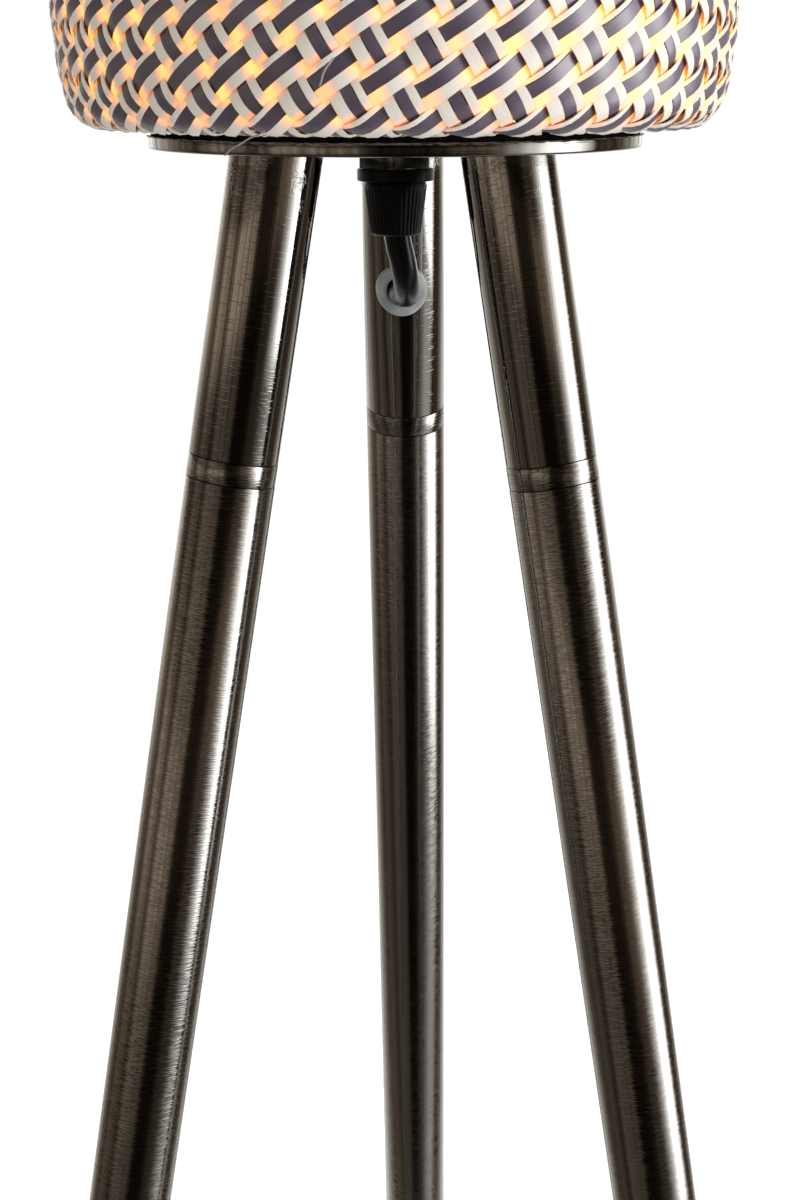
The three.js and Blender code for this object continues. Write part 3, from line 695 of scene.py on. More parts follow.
def add_curve(name, points, radius, recipe, closed=False, smoothness=6):
    """A round tube on a smooth line through points."""
    data = bpy.data.curves.new(name, "CURVE")
    data.dimensions = "3D"
    data.bevel_depth = radius
    data.bevel_resolution = 5
    data.resolution_u = smoothness
    data.use_fill_caps = not closed
    data.twist_mode = "MINIMUM"
    spline = data.splines.new("BEZIER")
    spline.bezier_points.add(len(points) - 1)
    for knot, point in zip(spline.bezier_points, points):
        knot.co = point
        knot.handle_left_type = knot.handle_right_type = "AUTO"
    spline.use_cyclic_u = closed
    data.materials.append(finished(recipe))
    return bpy.data.objects.new(name, data)


def cut_out(piece, tool):
    """Takes a tool's shape out of a piece, and removes the tool."""
    modifier = piece.modifiers.new("hole", "BOOLEAN")
    modifier.object = tool
    modifier.solver = "EXACT"
    bpy.context.view_layer.update()
    shaped = piece.evaluated_get(bpy.context.evaluated_depsgraph_get())
    mesh = bpy.data.meshes.new_from_object(shaped)
    piece.modifiers.clear()
    piece.data = mesh
    bpy.data.objects.remove(tool)


# Places on the lamp


@cache
def leg_matrix(side):
    """A leg's own frame: its origin is on the leg's axis at the plate's underside, +Z points up along
    the axis and +X away from the lamp."""
    upper = middle(f"leg_tube_upper_{side}")
    lower = middle(f"leg_tube_lower_{side}")
    up = (upper - lower).normalized()
    origin = upper + up * ((PLATE_LOW.z - upper.z) / up.z)
    away = Vector((lower.x - upper.x, lower.y - upper.y, 0)).normalized()
    across = up.cross(away).normalized()
    out = across.cross(up)
    return Matrix.Translation(origin) @ Matrix((out, across, up)).transposed().to_4x4()


def at_axis(height):
    """The move from the origin to a height on the lamp's axis."""
    return Matrix.Translation((AXIS.x, AXIS.y, height))


def on_rear_leg(station, outwards):
    """A point beside the rear leg's axis, a length down the leg from the plate."""
    return leg_matrix("rear") @ Vector((outwards, 0, -station))


# Pieces


def tube(bottom, top):
    """A length of leg tube."""
    bm = soften(revolve(sleeve(TUBE_BORE, TUBE_RADIUS, bottom, top), TUBE_STEPS), TUBE_EDGE)
    return unwrap_around(bm)


def make_leg(side):
    """A stub cut level under the plate, and below it two tubes with a turned piece before each."""
    matrix = leg_matrix(side)
    stub = tube(-STUB_LENGTH, TUBE_RADIUS)
    stub.transform(matrix)
    bmesh.ops.bridge_loops(stub, edges=cut_level(stub, PLATE_LOW.z - TOUCH, 1))
    top = add_piece(f"stub_{side}", stub, welded_nickel, f"leg_stub_{side}")

    for name, station in (("connector", CONNECTOR_STATION), ("coupling", COUPLING_STATION)):
        place = matrix @ Matrix.Translation((0, 0, -station - RING_HEIGHT / 2))
        add_piece(f"{name}_{side}", turned_joint(), brushed_nickel, f"leg_{name}_{side}", matrix=place)
    for name, station in (("upper", UPPER_TUBE_STATION), ("lower", LOWER_TUBE_STATION)):
        node = f"leg_tube_{name}_{side}"
        place = matrix @ Matrix.Translation((0, 0, -station))
        end = add_piece(f"tube_{name}_{side}", tube(-TUBE_LENGTH, 0), brushed_nickel, node, matrix=place)
    make_foot(side, matrix)
    return top, end


def turned_joint():
    """A ring between two tubes, with a spigot into each."""
    half = RING_HEIGHT / 2 + SEAM_FILL
    reach = half + SPIGOT_LENGTH
    spigot = TUBE_BORE - SEAT_GAP
    bore = spigot - SPIGOT_WALL
    profile = [
        (bore, -reach), (spigot, -reach), (spigot, -half), (TUBE_RADIUS, -half),
        (TUBE_RADIUS, half), (spigot, half), (spigot, reach), (bore, reach),
    ]
    return unwrap_around(soften(revolve(profile, TUBE_STEPS), TUBE_EDGE))


def make_foot(side, matrix):
    """A ribbed rubber cup on the leg's end, cut level where it stands."""
    wall, height, bottom, chamfer = 0.0018, 0.016, -0.012, 0.0012
    grooves, first_groove, pitch, width, depth, slope = 3, 0.003, 0.0034, 0.0016, 0.0006, 0.0004
    inner = TUBE_RADIUS + SEAT_GAP
    outer = inner + wall
    profile = [(0, bottom), (outer, bottom)]
    for i in range(grooves):
        low = first_groove + i * pitch
        high = low + width
        floor = outer - depth
        profile += [(outer, low), (floor, low + slope), (floor, high - slope), (outer, high)]
    profile += [(outer, height - chamfer), (outer - chamfer, height), (inner, height)]
    profile += [(inner, -SEAT_GAP), (0, -SEAT_GAP)]
    foot = soften(revolve(profile), 0.0002)
    foot.transform(matrix @ Matrix.Translation((0, 0, -LEG_LENGTH)))
    bmesh.ops.holes_fill(foot, edges=cut_level(foot, 0, -1))
    add_piece(f"foot_{side}", foot, black_rubber, f"leg_foot_{side}")


def make_plate():
    """The round plate, and on its top a thin black pad that is painted shadow for the gap under the
    shade.
    """
    shadow_pad_height, shadow_pad_inset = 0.0008, 0.0012
    lower_edge, upper_edge = 0.0006, 0.0003
    thickness = PLATE_HIGH.z - PLATE_LOW.z - shadow_pad_height
    profile = [
        (NIPPLE_HOLE, 0),
        *arc(lower_edge, (PLATE_RADIUS - lower_edge, lower_edge), -90, 0, 6),
        *arc(upper_edge, (PLATE_RADIUS - upper_edge, thickness - upper_edge), 0, 90, 3),
        (NIPPLE_HOLE, thickness),
    ]
    place = at_axis(PLATE_LOW.z)
    add_piece("round_plate", unwrap_around(revolve(profile, 256)), plate_nickel, "plate", matrix=place)
    # The black pad is painted shadow: it fills the dark gap between the plate and the shade
    profile = sleeve(NIPPLE_HOLE, PLATE_RADIUS - shadow_pad_inset, thickness, thickness + shadow_pad_height)
    add_piece("painted_shadow_pad", revolve(profile, 192), painted_shadow_black, like="plate", matrix=place)


def make_nut():
    """The hex nut, the nipple that it is on, and the washer above the plate."""
    nut = dress("hex_nut", turned_steel)
    weld = nut.modifiers.new("weld", "WELD")
    weld.merge_threshold = 1e-5
    bevel = nut.modifiers.new("edges", "BEVEL")
    bevel.width = 0.0003
    bevel.segments = 2
    bevel.limit_method = "ANGLE"
    dress("threaded_nipple", bright_steel)
    dress("plate_washer", bright_steel)


def make_grip_base():
    low, high = corners("grip_base")
    neck, flange, flange_height = 0.0062, 0.0094, 0.0029
    height = high.z - low.z
    under = height - flange_height
    profile = [
        (NIPPLE_HOLE, 0), (neck, 0), (neck, under), (flange, under), (flange, height),
        (NIPPLE_HOLE, height),
    ]
    base = soften(revolve(profile), 0.0004)
    add_piece("grip_flange", base, moulded_black, "grip_base", matrix=at_axis(low.z))


def make_grip_cap():
    """The cap that holds the lead, tapered and finely fluted."""
    low, high = corners("grip_cap")
    height = high.z - low.z
    tip, top, cavity, depth, edge = 0.0063, 0.00775, 0.0065, 0.0053, 0.0008
    flutes, steps_per_flute, flute_depth, skin_depth = 40, 8, 0.00022, 0.0003
    first_level, last_level = 0.05, 0.93
    bore = LEAD_RADIUS + SEAT_GAP
    profile = [
        (bore, 0), (tip - edge * 0.75, 0), (tip - edge / 8, edge / 2),
        *straight((tip, edge), (top, height - edge), 8), (top - edge / 2, height),
        (cavity, height), (cavity, height - depth), (bore, height - depth),
    ]
    cap = revolve(profile, flutes * steps_per_flute)
    for vert in cap.verts:
        radius = math.hypot(vert.co.x, vert.co.y)
        level = vert.co.z / height
        if radius > tip + (top - tip) * level - skin_depth and first_level < level < last_level:
            wave = (1 + math.cos(math.atan2(vert.co.y, vert.co.x) * flutes)) / 2
            vert.co.xy *= 1 - flute_depth * wave / radius
    add_piece("grip_nut_cap", cap, moulded_black, "grip_cap", matrix=at_axis(low.z), sharp=50)


def make_grommet(stub):
    """A rubber ring through the stub's wall, bent to the tube that it sits on."""
    bore, neck, flange, bead, lip, lip_height = 0.00385, 0.005, 0.00705, 0.0019, 0.0062, 0.0012
    lip_top = -TUBE_WALL - SEAT_GAP
    lip_low = lip_top - lip_height
    roundness = bead / 2
    profile = [
        (bore, lip_low), (lip, lip_low), (lip, lip_top), (neck, lip_top), (neck, TOUCH),
        *arc(roundness, (flange - roundness, TOUCH + roundness), -90, 90, 12),
        *arc(roundness, (bore + roundness, bead - roundness), 90, 180, 8),
    ]
    ring = revolve(profile)
    for vert in ring.verts:
        across, along, height = vert.co
        reach = TUBE_RADIUS + height
        vert.co = (-math.sqrt(reach * reach - across * across), -across, along - GROMMET_STATION)
    ring.normal_update()
    bmesh.ops.recalc_face_normals(ring, faces=ring.faces)
    add_piece("rubber_grommet", ring, grey_rubber, "cord_grommet", matrix=leg_matrix("rear"))
    turned = Matrix.Translation((0, 0, -GROMMET_STATION)) @ Matrix.Rotation(-math.pi / 2, 4, "Y")
    bore_leg(stub, neck + SEAT_GAP, turned)


def bore_leg(piece, radius, turned):
    """Takes a round hole out of a piece of the rear leg."""
    hole = revolve(rod(radius, 0, 2 * TUBE_RADIUS), 64)
    hole.transform(leg_matrix("rear") @ turned)
    mesh = bpy.data.meshes.new("tool")
    hole.to_mesh(mesh)
    hole.free()
    tool = bpy.data.objects.new("tool", mesh)
    bpy.context.scene.collection.objects.link(tool)
    cut_out(piece, tool)


def make_boot(lower_tube):
    """The ribbed boot through which the lead leaves the rear leg."""
    bore, hole = LEAD_RADIUS + 0.0001, 0.0053
    base, tip, sunk, collar_share = 0.0066, 0.0047, 0.0006, 1 / 6
    ribs, groove_depth = 6, 0.0007
    start = TUBE_RADIUS - sunk
    collar = TUBE_RADIUS + BOOT_LENGTH * collar_share
    end = TUBE_RADIUS + BOOT_LENGTH
    pitch = (end - collar) / (ribs + 0.5)
    profile = [(bore, start), (base, start), (base, collar)]
    for i in range(ribs):
        low = collar + pitch * (i + 0.35)
        high = low + pitch * 0.45
        radius = base + (tip - base) * (i + 0.6) / ribs
        floor = radius - groove_depth
        profile += [(floor, low), (floor, (low + high) / 2), (radius, high)]
    profile += [(tip, end), (bore, end)]
    boot = soften(revolve(profile), 0.00025)
    turned = Matrix.Translation((0, 0, -BOOT_STATION)) @ Matrix.Rotation(math.pi / 2, 4, "Y")
    add_piece("strain_boot", boot, black_rubber, "lead_boot", matrix=leg_matrix("rear") @ turned)
    bore_leg(lower_tube, hole, turned)


def make_held_lead():
    """The lead from the lampholder through the cord grip and the grommet, and down inside the leg."""
    low = corners("grip_cap")[0].z
    top = corners("lead_held")[1].z
    head = [
        (0, 0, top), (0, 0, low + 0.005), (0.0006, 0, low - 0.0016), (0.0017, 0.0013, low - 0.0068),
        (0.0023, 0.005, low - 0.012), (0.0022, 0.0112, low - 0.0158), (0.0012, 0.018, low - 0.017),
    ]
    inside = [
        (GROMMET_STATION, -TUBE_RADIUS - 0.0034), (GROMMET_STATION, -TUBE_RADIUS + 0.001),
        (GROMMET_STATION, -0.007), (GROMMET_STATION + 0.0018, -0.0032), (GROMMET_STATION + 0.007, 0.001),
        (GROMMET_STATION + 0.014, 0.0022), (GROMMET_STATION + 0.024, 0.0006),
        (GROMMET_STATION + 0.036, 0),
        (BOOT_STATION - 0.034, 0), (BOOT_STATION - 0.022, -0.0018), (BOOT_STATION - 0.012, -0.0032),
        (BOOT_STATION - 0.005, -0.0024), (BOOT_STATION - 0.001, 0.0018), (BOOT_STATION, 0.0066),
        (BOOT_STATION, 0.01), (BOOT_STATION, TUBE_RADIUS + BOOT_LENGTH),
    ]
    points = [AXIS + Vector(point) for point in head] + [on_rear_leg(*place) for place in inside]
    settle(add_curve("lead_in_lamp", points, LEAD_RADIUS, lead_sheath, smoothness=10), "lead_held")
    for i in (1, 2):
        dress(f"lead_core_{i}", core_sheath)


# Woven shade


def shade_line():
    """The wall's middle line in section, from the lower lip to the upper, at even steps. Gives the
    radii, the heights, the two parts of the outward normals and the lengths along the line."""
    low, high = corners("shade_weave")
    radius = (high.x - low.x) / 2
    height = high.z - low.z
    wall, corner, draft, draft_height = 0.0018, 0.01, 0.0015, 0.016
    lip, mouth = 0.057, 0.062
    corner_steps, draft_steps, count = 24, 12, 1600
    lower = arc(corner - wall / 2, (radius - draft - corner, corner), -90, 0, corner_steps)
    for i in range(1, draft_steps + 1):
        share = i / draft_steps
        ease = share * (2 - share)
        lower.append((radius - wall / 2 - draft * (1 - ease), corner + draft_height * share))
    upper = [(r, height - z) for r, z in reversed(lower)]
    line = [(lip, wall / 2), *lower, *upper, (mouth, height - wall / 2)]
    points = np.array(line) + (0, low.z)
    points[:, 1] = np.maximum(points[:, 1], low.z + wall / 2 + RIM_LIFT)
    runs = np.concatenate([[0], np.cumsum(np.hypot(*np.diff(points, axis=0).T))])
    even = np.linspace(0, runs[-1], count)
    radii = np.interp(even, runs, points[:, 0])
    heights = np.interp(even, runs, points[:, 1])
    slope_r, slope_z = np.gradient(radii, even), np.gradient(heights, even)
    size = np.hypot(slope_r, slope_z)
    return radii, heights, slope_z / size, -slope_r / size, even


def weave_strips(own, other, edges, bulge, seed):
    """One kind of strip of the weave, a mesh. own and other are this strip's family and the family that
    it crosses, and edges is where the strip's two edges lie in its group."""
    radii, heights, normal_r, normal_z, even = shade_line()
    rows_per_crossing, columns, unevenness, rounding = 5, 2, 0.01, 0.14
    widest = radii.max()
    length = even[-1]
    crossings = other.groups * length * (abs(own.slant) + abs(other.slant)) / (TURN * widest)
    rows = int(crossings * rows_per_crossing)
    jitter = np.random.default_rng(seed).normal(0, unevenness, (own.groups, 2))
    bm = bmesh.new()
    strip_layer = bm.verts.layers.float_vector.new("strip")
    crossing_layer = bm.verts.layers.float_vector.new("crossing")
    for group in range(own.groups):
        low, high = (edge + shift * (abs(edge) < 0.5) for edge, shift in zip(edges, jitter[group]))
        made = bmesh.ops.create_grid(bm, x_segments=rows, y_segments=columns, size=0.5)
        for vert in made["verts"]:
            along = (vert.co.x + 0.5) * length
            across = vert.co.y + 0.5
            turn = own.turn_at(group + low + (high - low) * across, along / widest)
            crossing = other.phase_at(turn, along / widest)
            wave = math.cos(math.pi * (crossing + group)) * math.copysign(1, own.slant)
            crown = 1 - rounding * (2 * across - 1) ** 2
            lift = bulge * wave * crown
            radius = np.interp(along, even, radii) + lift * np.interp(along, even, normal_r)
            height = np.interp(along, even, heights) + lift * np.interp(along, even, normal_z)
            vert.co = (AXIS.x + radius * math.cos(turn), AXIS.y + radius * math.sin(turn), height)
            vert[strip_layer] = (across, along * 100, group + low)
            vert[crossing_layer] = (crossing, 0, 0)
    bm.normal_update()
    bmesh.ops.solidify(bm, geom=bm.faces[:], thickness=settings().strip_thickness)
    bmesh.ops.recalc_face_normals(bm, faces=bm.faces)
    return bm


def make_shade():
    rising, falling = settings().rising_bulge, settings().falling_bulge
    kinds = [
        ("rising_dark", RISING, FALLING, (-0.331, 0.113), rising, dark_strip),
        ("rising_cream_wide", RISING, FALLING, (0.125, 0.5), rising, cream_rising_low),
        ("rising_cream_narrow", RISING, FALLING, (-0.5, -0.342), rising, cream_rising_high),
        ("falling_dark", FALLING, RISING, (-0.048, 0.238), falling, dark_strip),
        ("falling_cream_wide", FALLING, RISING, (-0.34, -0.06), falling, cream_falling),
        ("falling_cream_narrow", FALLING, RISING, (0.25, 0.45), falling, cream_falling),
    ]
    for seed, (name, own, other, edges, bulge, recipe) in enumerate(kinds):
        strips = weave_strips(own, other, edges, bulge, seed)
        nodes = ["shade_weave"] if seed == 0 else []
        add_piece(f"{name}_strips", strips, recipe, *nodes, like="shade_weave", sharp=50)


# Slivers that stand off the weave, from the middle of the plate's underside
HANGING_SLIVER = [
    (-0.02205, -0.07325, 0.00573), (-0.02319, -0.07237, 0.00511), (-0.0249, -0.06968, 0.00456),
    (-0.02667, -0.0658, 0.00383), (-0.02879, -0.06105, 0.00281), (-0.0312, -0.0569, 0.00171),
    (-0.0333, -0.0531, 0.0002),
]
LOOSE_SLIVER = [
    (-0.0074, -0.0801, 0.01944), (-0.00816, -0.08059, 0.01835), (-0.00873, -0.08073, 0.01763),
    (-0.00934, -0.08066, 0.01654), (-0.00967, -0.08042, 0.01545), (-0.01014, -0.07975, 0.01435),
]


def make_slivers():
    """Two fine slivers that have come away from the strips."""
    origin = Vector((AXIS.x, AXIS.y, PLATE_LOW.z))
    for name, line, radius in (("hanging", HANGING_SLIVER, 0.00016), ("loose", LOOSE_SLIVER, 0.0002)):
        points = [origin + Vector(point) for point in line]
        settle(add_curve(f"{name}_sliver", points, radius, raw_fibre), like="shade_weave")


def make_shade_frame():
    """The wire cage inside the shade."""
    knots, upright_wire = 12, 0.0013
    angles = [TURN * i / knots for i in range(knots)]
    for name in ("lower", "upper"):
        low, high = corners(f"shade_ring_{name}")
        radius = (high.x - low.x) / 2 - RING_WIRE
        level = (low.z + high.z) / 2
        points = [AXIS + Vector((radius * math.cos(a), radius * math.sin(a), level)) for a in angles]
        ring = add_curve(f"wire_ring_{name}", points, RING_WIRE, cream_paint, closed=True, smoothness=16)
        settle(ring, f"shade_ring_{name}")
    for side in SIDES:
        low, high = corners(f"shade_upright_{side}")
        centre = (low + high) / 2
        upright = soften(revolve(rod(upright_wire, low.z, high.z), 24), 0.0003)
        place = Matrix.Translation((centre.x, centre.y, 0))
        add_piece(f"wire_upright_{side}", upright, cream_paint, f"shade_upright_{side}", matrix=place)
    make_spider(radius)


def make_spider(reach):
    """A flat hub on the lampholder, with three arms that go out and down to the lower ring."""
    high = corners("shade_spider")[1]
    hub_inner, hub_outer, thickness, arm = 0.0198, 0.0305, 0.0016, 0.0015
    hub = soften(revolve(sleeve(hub_inner, hub_outer, high.z - thickness, high.z)), 0.0004)
    hub.transform(Matrix.Translation(AXIS))
    ring = middle("shade_ring_lower").z
    for side in SIDES:
        out = (middle(f"shade_upright_{side}") - AXIS).to_2d().to_3d().normalized()
        start = AXIS + out * (hub_outer - arm) + Vector((0, 0, high.z - thickness / 2))
        end = AXIS + out * (reach - RING_WIRE - SEAT_GAP) + Vector((0, 0, ring))
        way = end - start
        bar = revolve(rod(arm, 0, way.length), 20)
        bar.transform(Matrix.Translation(start) @ way.to_track_quat("Z", "Y").to_matrix().to_4x4())
        bar_mesh = bpy.data.meshes.new("bar")
        bar.to_mesh(bar_mesh)
        bar.free()
        hub.from_mesh(bar_mesh)
        bpy.data.meshes.remove(bar_mesh)
    add_piece("wire_spider", hub, cream_paint, "shade_spider")


def make_holder_base():
    low, high = corners("holder_base")
    floor, ledge, ledge_width = 0.0024, 0.01, 0.0028
    height = high.z - low.z
    inner = HOLDER_RADIUS - HOLDER_WALL
    step = inner - ledge_width
    profile = [
        (NIPPLE_HOLE, 0), (inner, 0), (HOLDER_RADIUS, HOLDER_WALL), (HOLDER_RADIUS, height),
        (inner, height), (inner, ledge), (step, ledge), (step, floor), (NIPPLE_HOLE, floor),
    ]
    base = soften(revolve(profile), 0.0003)
    add_piece("holder_shell", base, moulded_black, "holder_base", matrix=at_axis(low.z))


def make_holder_sleeve():
    """The skirt over the lampholder's base, with a flange and a thread for the clamp ring."""
    low, high = corners("holder_sleeve")
    outer, shoulder, flange, wall = 0.0195, 0.012, 0.026, HOLDER_WALL
    threads, depth = 6, 0.0006
    footing = HOLDER_RADIUS - wall + SEAT_GAP
    height = high.z - low.z
    inner = outer - wall
    root = outer - depth
    top = shoulder + wall
    pitch = (height - top - depth) / threads
    profile = [
        (footing, 0), (outer, 0), (outer, shoulder), (flange, shoulder), (flange, top), (root, top),
    ]
    for i in range(threads):
        edge = top + depth + i * pitch
        profile += [
            (root, edge + 0.1 * pitch), (outer, edge + 0.35 * pitch),
            (outer, edge + 0.55 * pitch), (root, edge + 0.8 * pitch),
        ]
    profile += [(root, height), (inner, height), (inner, wall), (footing, wall)]
    skirt = soften(revolve(profile), 0.0001)
    add_piece("holder_skirt", skirt, moulded_black, "holder_sleeve", matrix=at_axis(low.z))


def make_clamp_ring():
    """The ring that holds the shade's spider, grooved for the fingers."""
    low, high = corners("shade_clamp_ring")
    inner, outer, grips, steps_per_grip, depth, skin_depth = 0.0198, 0.025, 36, 6, 0.0004, 0.0007
    ring = soften(revolve(sleeve(inner, outer, 0, high.z - low.z), grips * steps_per_grip), 0.0005)
    for vert in ring.verts:
        radius = math.hypot(vert.co.x, vert.co.y)
        if radius > outer - skin_depth:
            wave = math.cos(math.atan2(vert.co.y, vert.co.x) * grips)
            vert.co.xy *= 1 - depth * max(wave, 0) / radius
    add_piece("clamp_ring", ring, moulded_black, "shade_clamp_ring", matrix=at_axis(low.z))


def make_lampholder():
    make_holder_base()
    make_holder_sleeve()
    make_clamp_ring()
    dress("holder_insert", glazed_white)
    dress("holder_contact", brass)
    dress("holder_thread_shell", brass)


def make_bulb():
    """The bulb's cap, its opal glass and the light of its filament."""
    dress("bulb_cap", bright_steel)
    low, high = corners("bulb_glass")
    radius = (high.x - low.x) / 2
    neck, neck_height, neck_steps, wall = 0.0134, 0.034, 12, 0.0008
    join_angle = 180 / 7
    join = radius * math.cos(math.radians(join_angle))
    centre = high.z - low.z - radius
    outline = []
    for i in range(neck_steps + 1):
        share = i / neck_steps
        ease = share * share * (3 - 2 * share)
        outline.append((neck + (join - neck) * (0.35 * share + 0.65 * ease), neck_height * share))
    outline += arc(radius, (0, centre), -join_angle, 90, 28)[1:]
    outline[-1] = (0, centre + radius)
    inner = [(max(r - wall, 0), z - wall if r < wall else z) for r, z in outline]
    glass = revolve([*reversed(inner), *outline])
    bulb = add_piece("opal_bulb", glass, lit_opal, "bulb_glass", matrix=at_axis(low.z), sharp=60)
    bulb.visible_shadow = False

    light = bpy.data.lights.new("filament", "SPOT")
    light.spot_size = math.radians(170)
    light.energy = settings().bulb_power
    light.color = (1.0, 0.66, 0.34)
    light.shadow_soft_size = 0.02
    lamp = bpy.data.objects.new("filament", light)
    lamp.location = (AXIS.x, AXIS.y, low.z + centre)
    lamp.rotation_euler.x = math.pi
    bpy.context.scene.collection.objects.link(lamp)
    lamp.parent = frame["bodies"][BODIES["bulb_glass"]]


# Free lead, on the same points as the frame's solids. They are measured from the lamp's axis and the
# floor.
TAIL = [
    (0, 0.2535, 0.0451), (0, 0.265, 0.0446), (0, 0.2755, 0.0396), (0, 0.2835, 0.0316),
    (0, 0.2905, 0.0224), (0, 0.298, 0.014), (0, 0.3065, 0.0082), (0, 0.3155, 0.0059), (0, 0.3247, 0.0056),
]
LINK = [
    (0, 0.4033, 0.0056), (0, 0.411, 0.0051), (0.002, 0.421, 0.0044), (0.0084, 0.4314, 0.0041),
    (0.0186, 0.4398, 0.0041), (0.031, 0.4436, 0.0042), (0.045, 0.44405, 0.0044),
    (0.062, 0.44405, 0.0045),
]
END = [
    (0.111, 0.4439, 0.0113), (0.126, 0.4408, 0.0098), (0.1406, 0.4338, 0.008), (0.1524, 0.4236, 0.0071),
    (0.1602, 0.4116, 0.00685), (0.1636, 0.4036, 0.00685), (0.164, 0.3977, 0.00685),
]
COIL_CENTRE = (0.092, 0.3954)
COIL_TURNS = 6
COIL_PITCH = 0.0071
COIL_RADIUS = 0.038
COIL_STEPS = 24
COIL_HEIGHT = 0.0045


def coil_points():
    """Turns inwards on the floor, then outwards on top of them."""
    half = COIL_TURNS // 2
    outermost = COIL_RADIUS + half * COIL_PITCH / 2
    points = []
    for i in range(COIL_TURNS * COIL_STEPS + 1):
        turn = i / COIL_STEPS
        radius = outermost - COIL_PITCH * (half - abs(turn - half))
        climb = min(max((turn - half) * 2 + 0.5, 0), 1)
        angle = math.pi / 2 - TURN * turn
        points.append((
            COIL_CENTRE[0] + radius * math.cos(angle),
            COIL_CENTRE[1] + radius * math.sin(angle),
            COIL_HEIGHT + COIL_PITCH * climb,
        ))
    return points


def run_length(points):
    return sum((b - a).length for a, b in zip(points, points[1:]))


def make_free_lead():
    """The lead from the boot's mouth to the foot switch, and from there over the coil to the plug."""
    mouth = on_rear_leg(BOOT_STATION, TUBE_RADIUS + BOOT_LENGTH + SEAT_GAP)
    tail_points = [mouth] + [AXIS + Vector(point) for point in TAIL]
    tail = add_curve("free_lead_tail", tail_points, LEAD_RADIUS, lead_sheath, smoothness=8)
    settle(tail, "lead_tail")
    rest_points = [AXIS + Vector(point) for point in LINK + coil_points() + END]
    rest = add_curve("free_lead_coil", rest_points, LEAD_RADIUS, lead_sheath, smoothness=4)
    settle(rest, "lead_link", "lead_coil", "lead_end")
    return tail, tail_points, rest, rest_points


def make_tie():
    band = soften(merged_copy("coil_tie"), 0.0002)
    return add_piece("coil_band", band, moulded_black, "coil_tie")


def make_switch():
    """The foot switch: its base, domed cover, button and screws."""
    centre = middle("switch_cover")
    place = Matrix.Translation((centre.x, centre.y, 0))
    button = 0.013
    base = soften(merged_copy("switch_base"), 0.0005, segments=3)
    return [
        add_piece("switch_foot", base, moulded_black, "switch_base"),
        make_switch_cover(place, button + SEAT_GAP),
        make_switch_button(place, button),
        *(dress(f"switch_screw_{i}", bright_steel) for i in (1, 2)),
    ]


def make_switch_cover(place, opening):
    low, high = corners("switch_cover")
    radius = (high.x - low.x) / 2
    bottom, top = low.z, high.z
    wall, crown = 0.0022, 0.021
    inner = radius - 2 * wall
    waist = bottom + (top - bottom) / 3
    shoulder = arc(2 * wall, (inner, waist), 0, 50, 10)
    rim = arc(wall, (crown, top - wall), 55, 90, 5)
    profile = [
        (radius - wall, bottom), (radius, bottom),
        *shoulder, *straight(shoulder[-1], rim[0], 8)[1:-1], *rim,
        (opening, top), (opening, top - wall), (crown - wall, top - wall),
        (inner, waist), (radius - wall, bottom + wall),
    ]
    cover = soften(revolve(profile, 128), 0.0003, angle=50)
    return add_piece("switch_dome", cover, moulded_black, "switch_cover", matrix=place)


def make_switch_button(place, radius):
    """A flanged button with rings in its face for the foot."""
    low, high = corners("switch_button")
    flange, thickness, round_edge = 0.0155, 0.0016, 0.0014
    count, first, pitch, depth = 4, 0.0032, 0.0024, 0.0004
    face = high.z
    rings = []
    for i in range(count):
        groove = radius - first - i * pitch
        floor = face - depth
        rings += [
            (groove, face), (groove - 0.0003, floor), (groove - 0.0008, floor), (groove - 0.0011, face),
        ]
    profile = [
        (0, low.z), (flange, low.z), (flange, low.z + thickness), (radius, low.z + thickness),
        *arc(round_edge, (radius - round_edge, face - round_edge), 0, 90, 6), *rings, (0, face),
    ]
    button = revolve(profile, 128)
    return add_piece("switch_press_button", button, grey_rubber, "switch_button", matrix=place)


def make_plug():
    body = soften(merged_copy("plug_body"), 0.0006, segments=3, angle=25)
    pieces = [add_piece("plug_moulding", body, moulded_black, "plug_body")]
    for i in (1, 2):
        low, high = corners(f"plug_pin_{i}")
        radius, half, tip = (high.x - low.x) / 2, (high.y - low.y) / 2, 0.0012
        profile = [
            (0, -half), (radius, -half), (radius, half - tip),
            *arc(tip, (radius - tip, half - tip), 0, 90, 5)[1:], (0, half),
        ]
        place = Matrix.Translation((low + high) / 2) @ Matrix.Rotation(math.pi / 2, 4, "X")
        pin = revolve(profile, 48)
        pieces.append(add_piece(f"plug_prong_{i}", pin, bright_steel, f"plug_pin_{i}", matrix=place))
    return pieces


# Stage


def make_camera():
    """The photograph's view: close to the lamp's head, looking slightly down from its front."""
    distance, above_plate = 0.39817, 0.01669
    turn, yaw, pitch, roll = (math.radians(angle) for angle in (3.2, 0.105, 18.5185, 0.2015))
    data = bpy.data.cameras.new("camera")
    data.lens = 47.209
    data.sensor_width = 36.0
    data.clip_start = 0.01
    camera = bpy.data.objects.new("camera", data)
    bpy.context.scene.collection.objects.link(camera)
    eye = Vector((distance * math.sin(turn), -distance * math.cos(turn), PLATE_LOW.z + above_plate))
    heading = yaw - turn
    forward = Vector((
        math.sin(heading) * math.cos(pitch), math.cos(heading) * math.cos(pitch), -math.sin(pitch),
    ))
    right = Vector((math.cos(heading), -math.sin(heading), 0))
    down = forward.cross(right)
    right, down = (
        math.cos(roll) * right + math.sin(roll) * down,
        -math.sin(roll) * right + math.cos(roll) * down,
    )
    turned = Matrix((right, -down, -forward)).transposed().to_4x4()
    camera.matrix_world = Matrix.Translation(AXIS + eye) @ turned
    bpy.context.scene.camera = camera


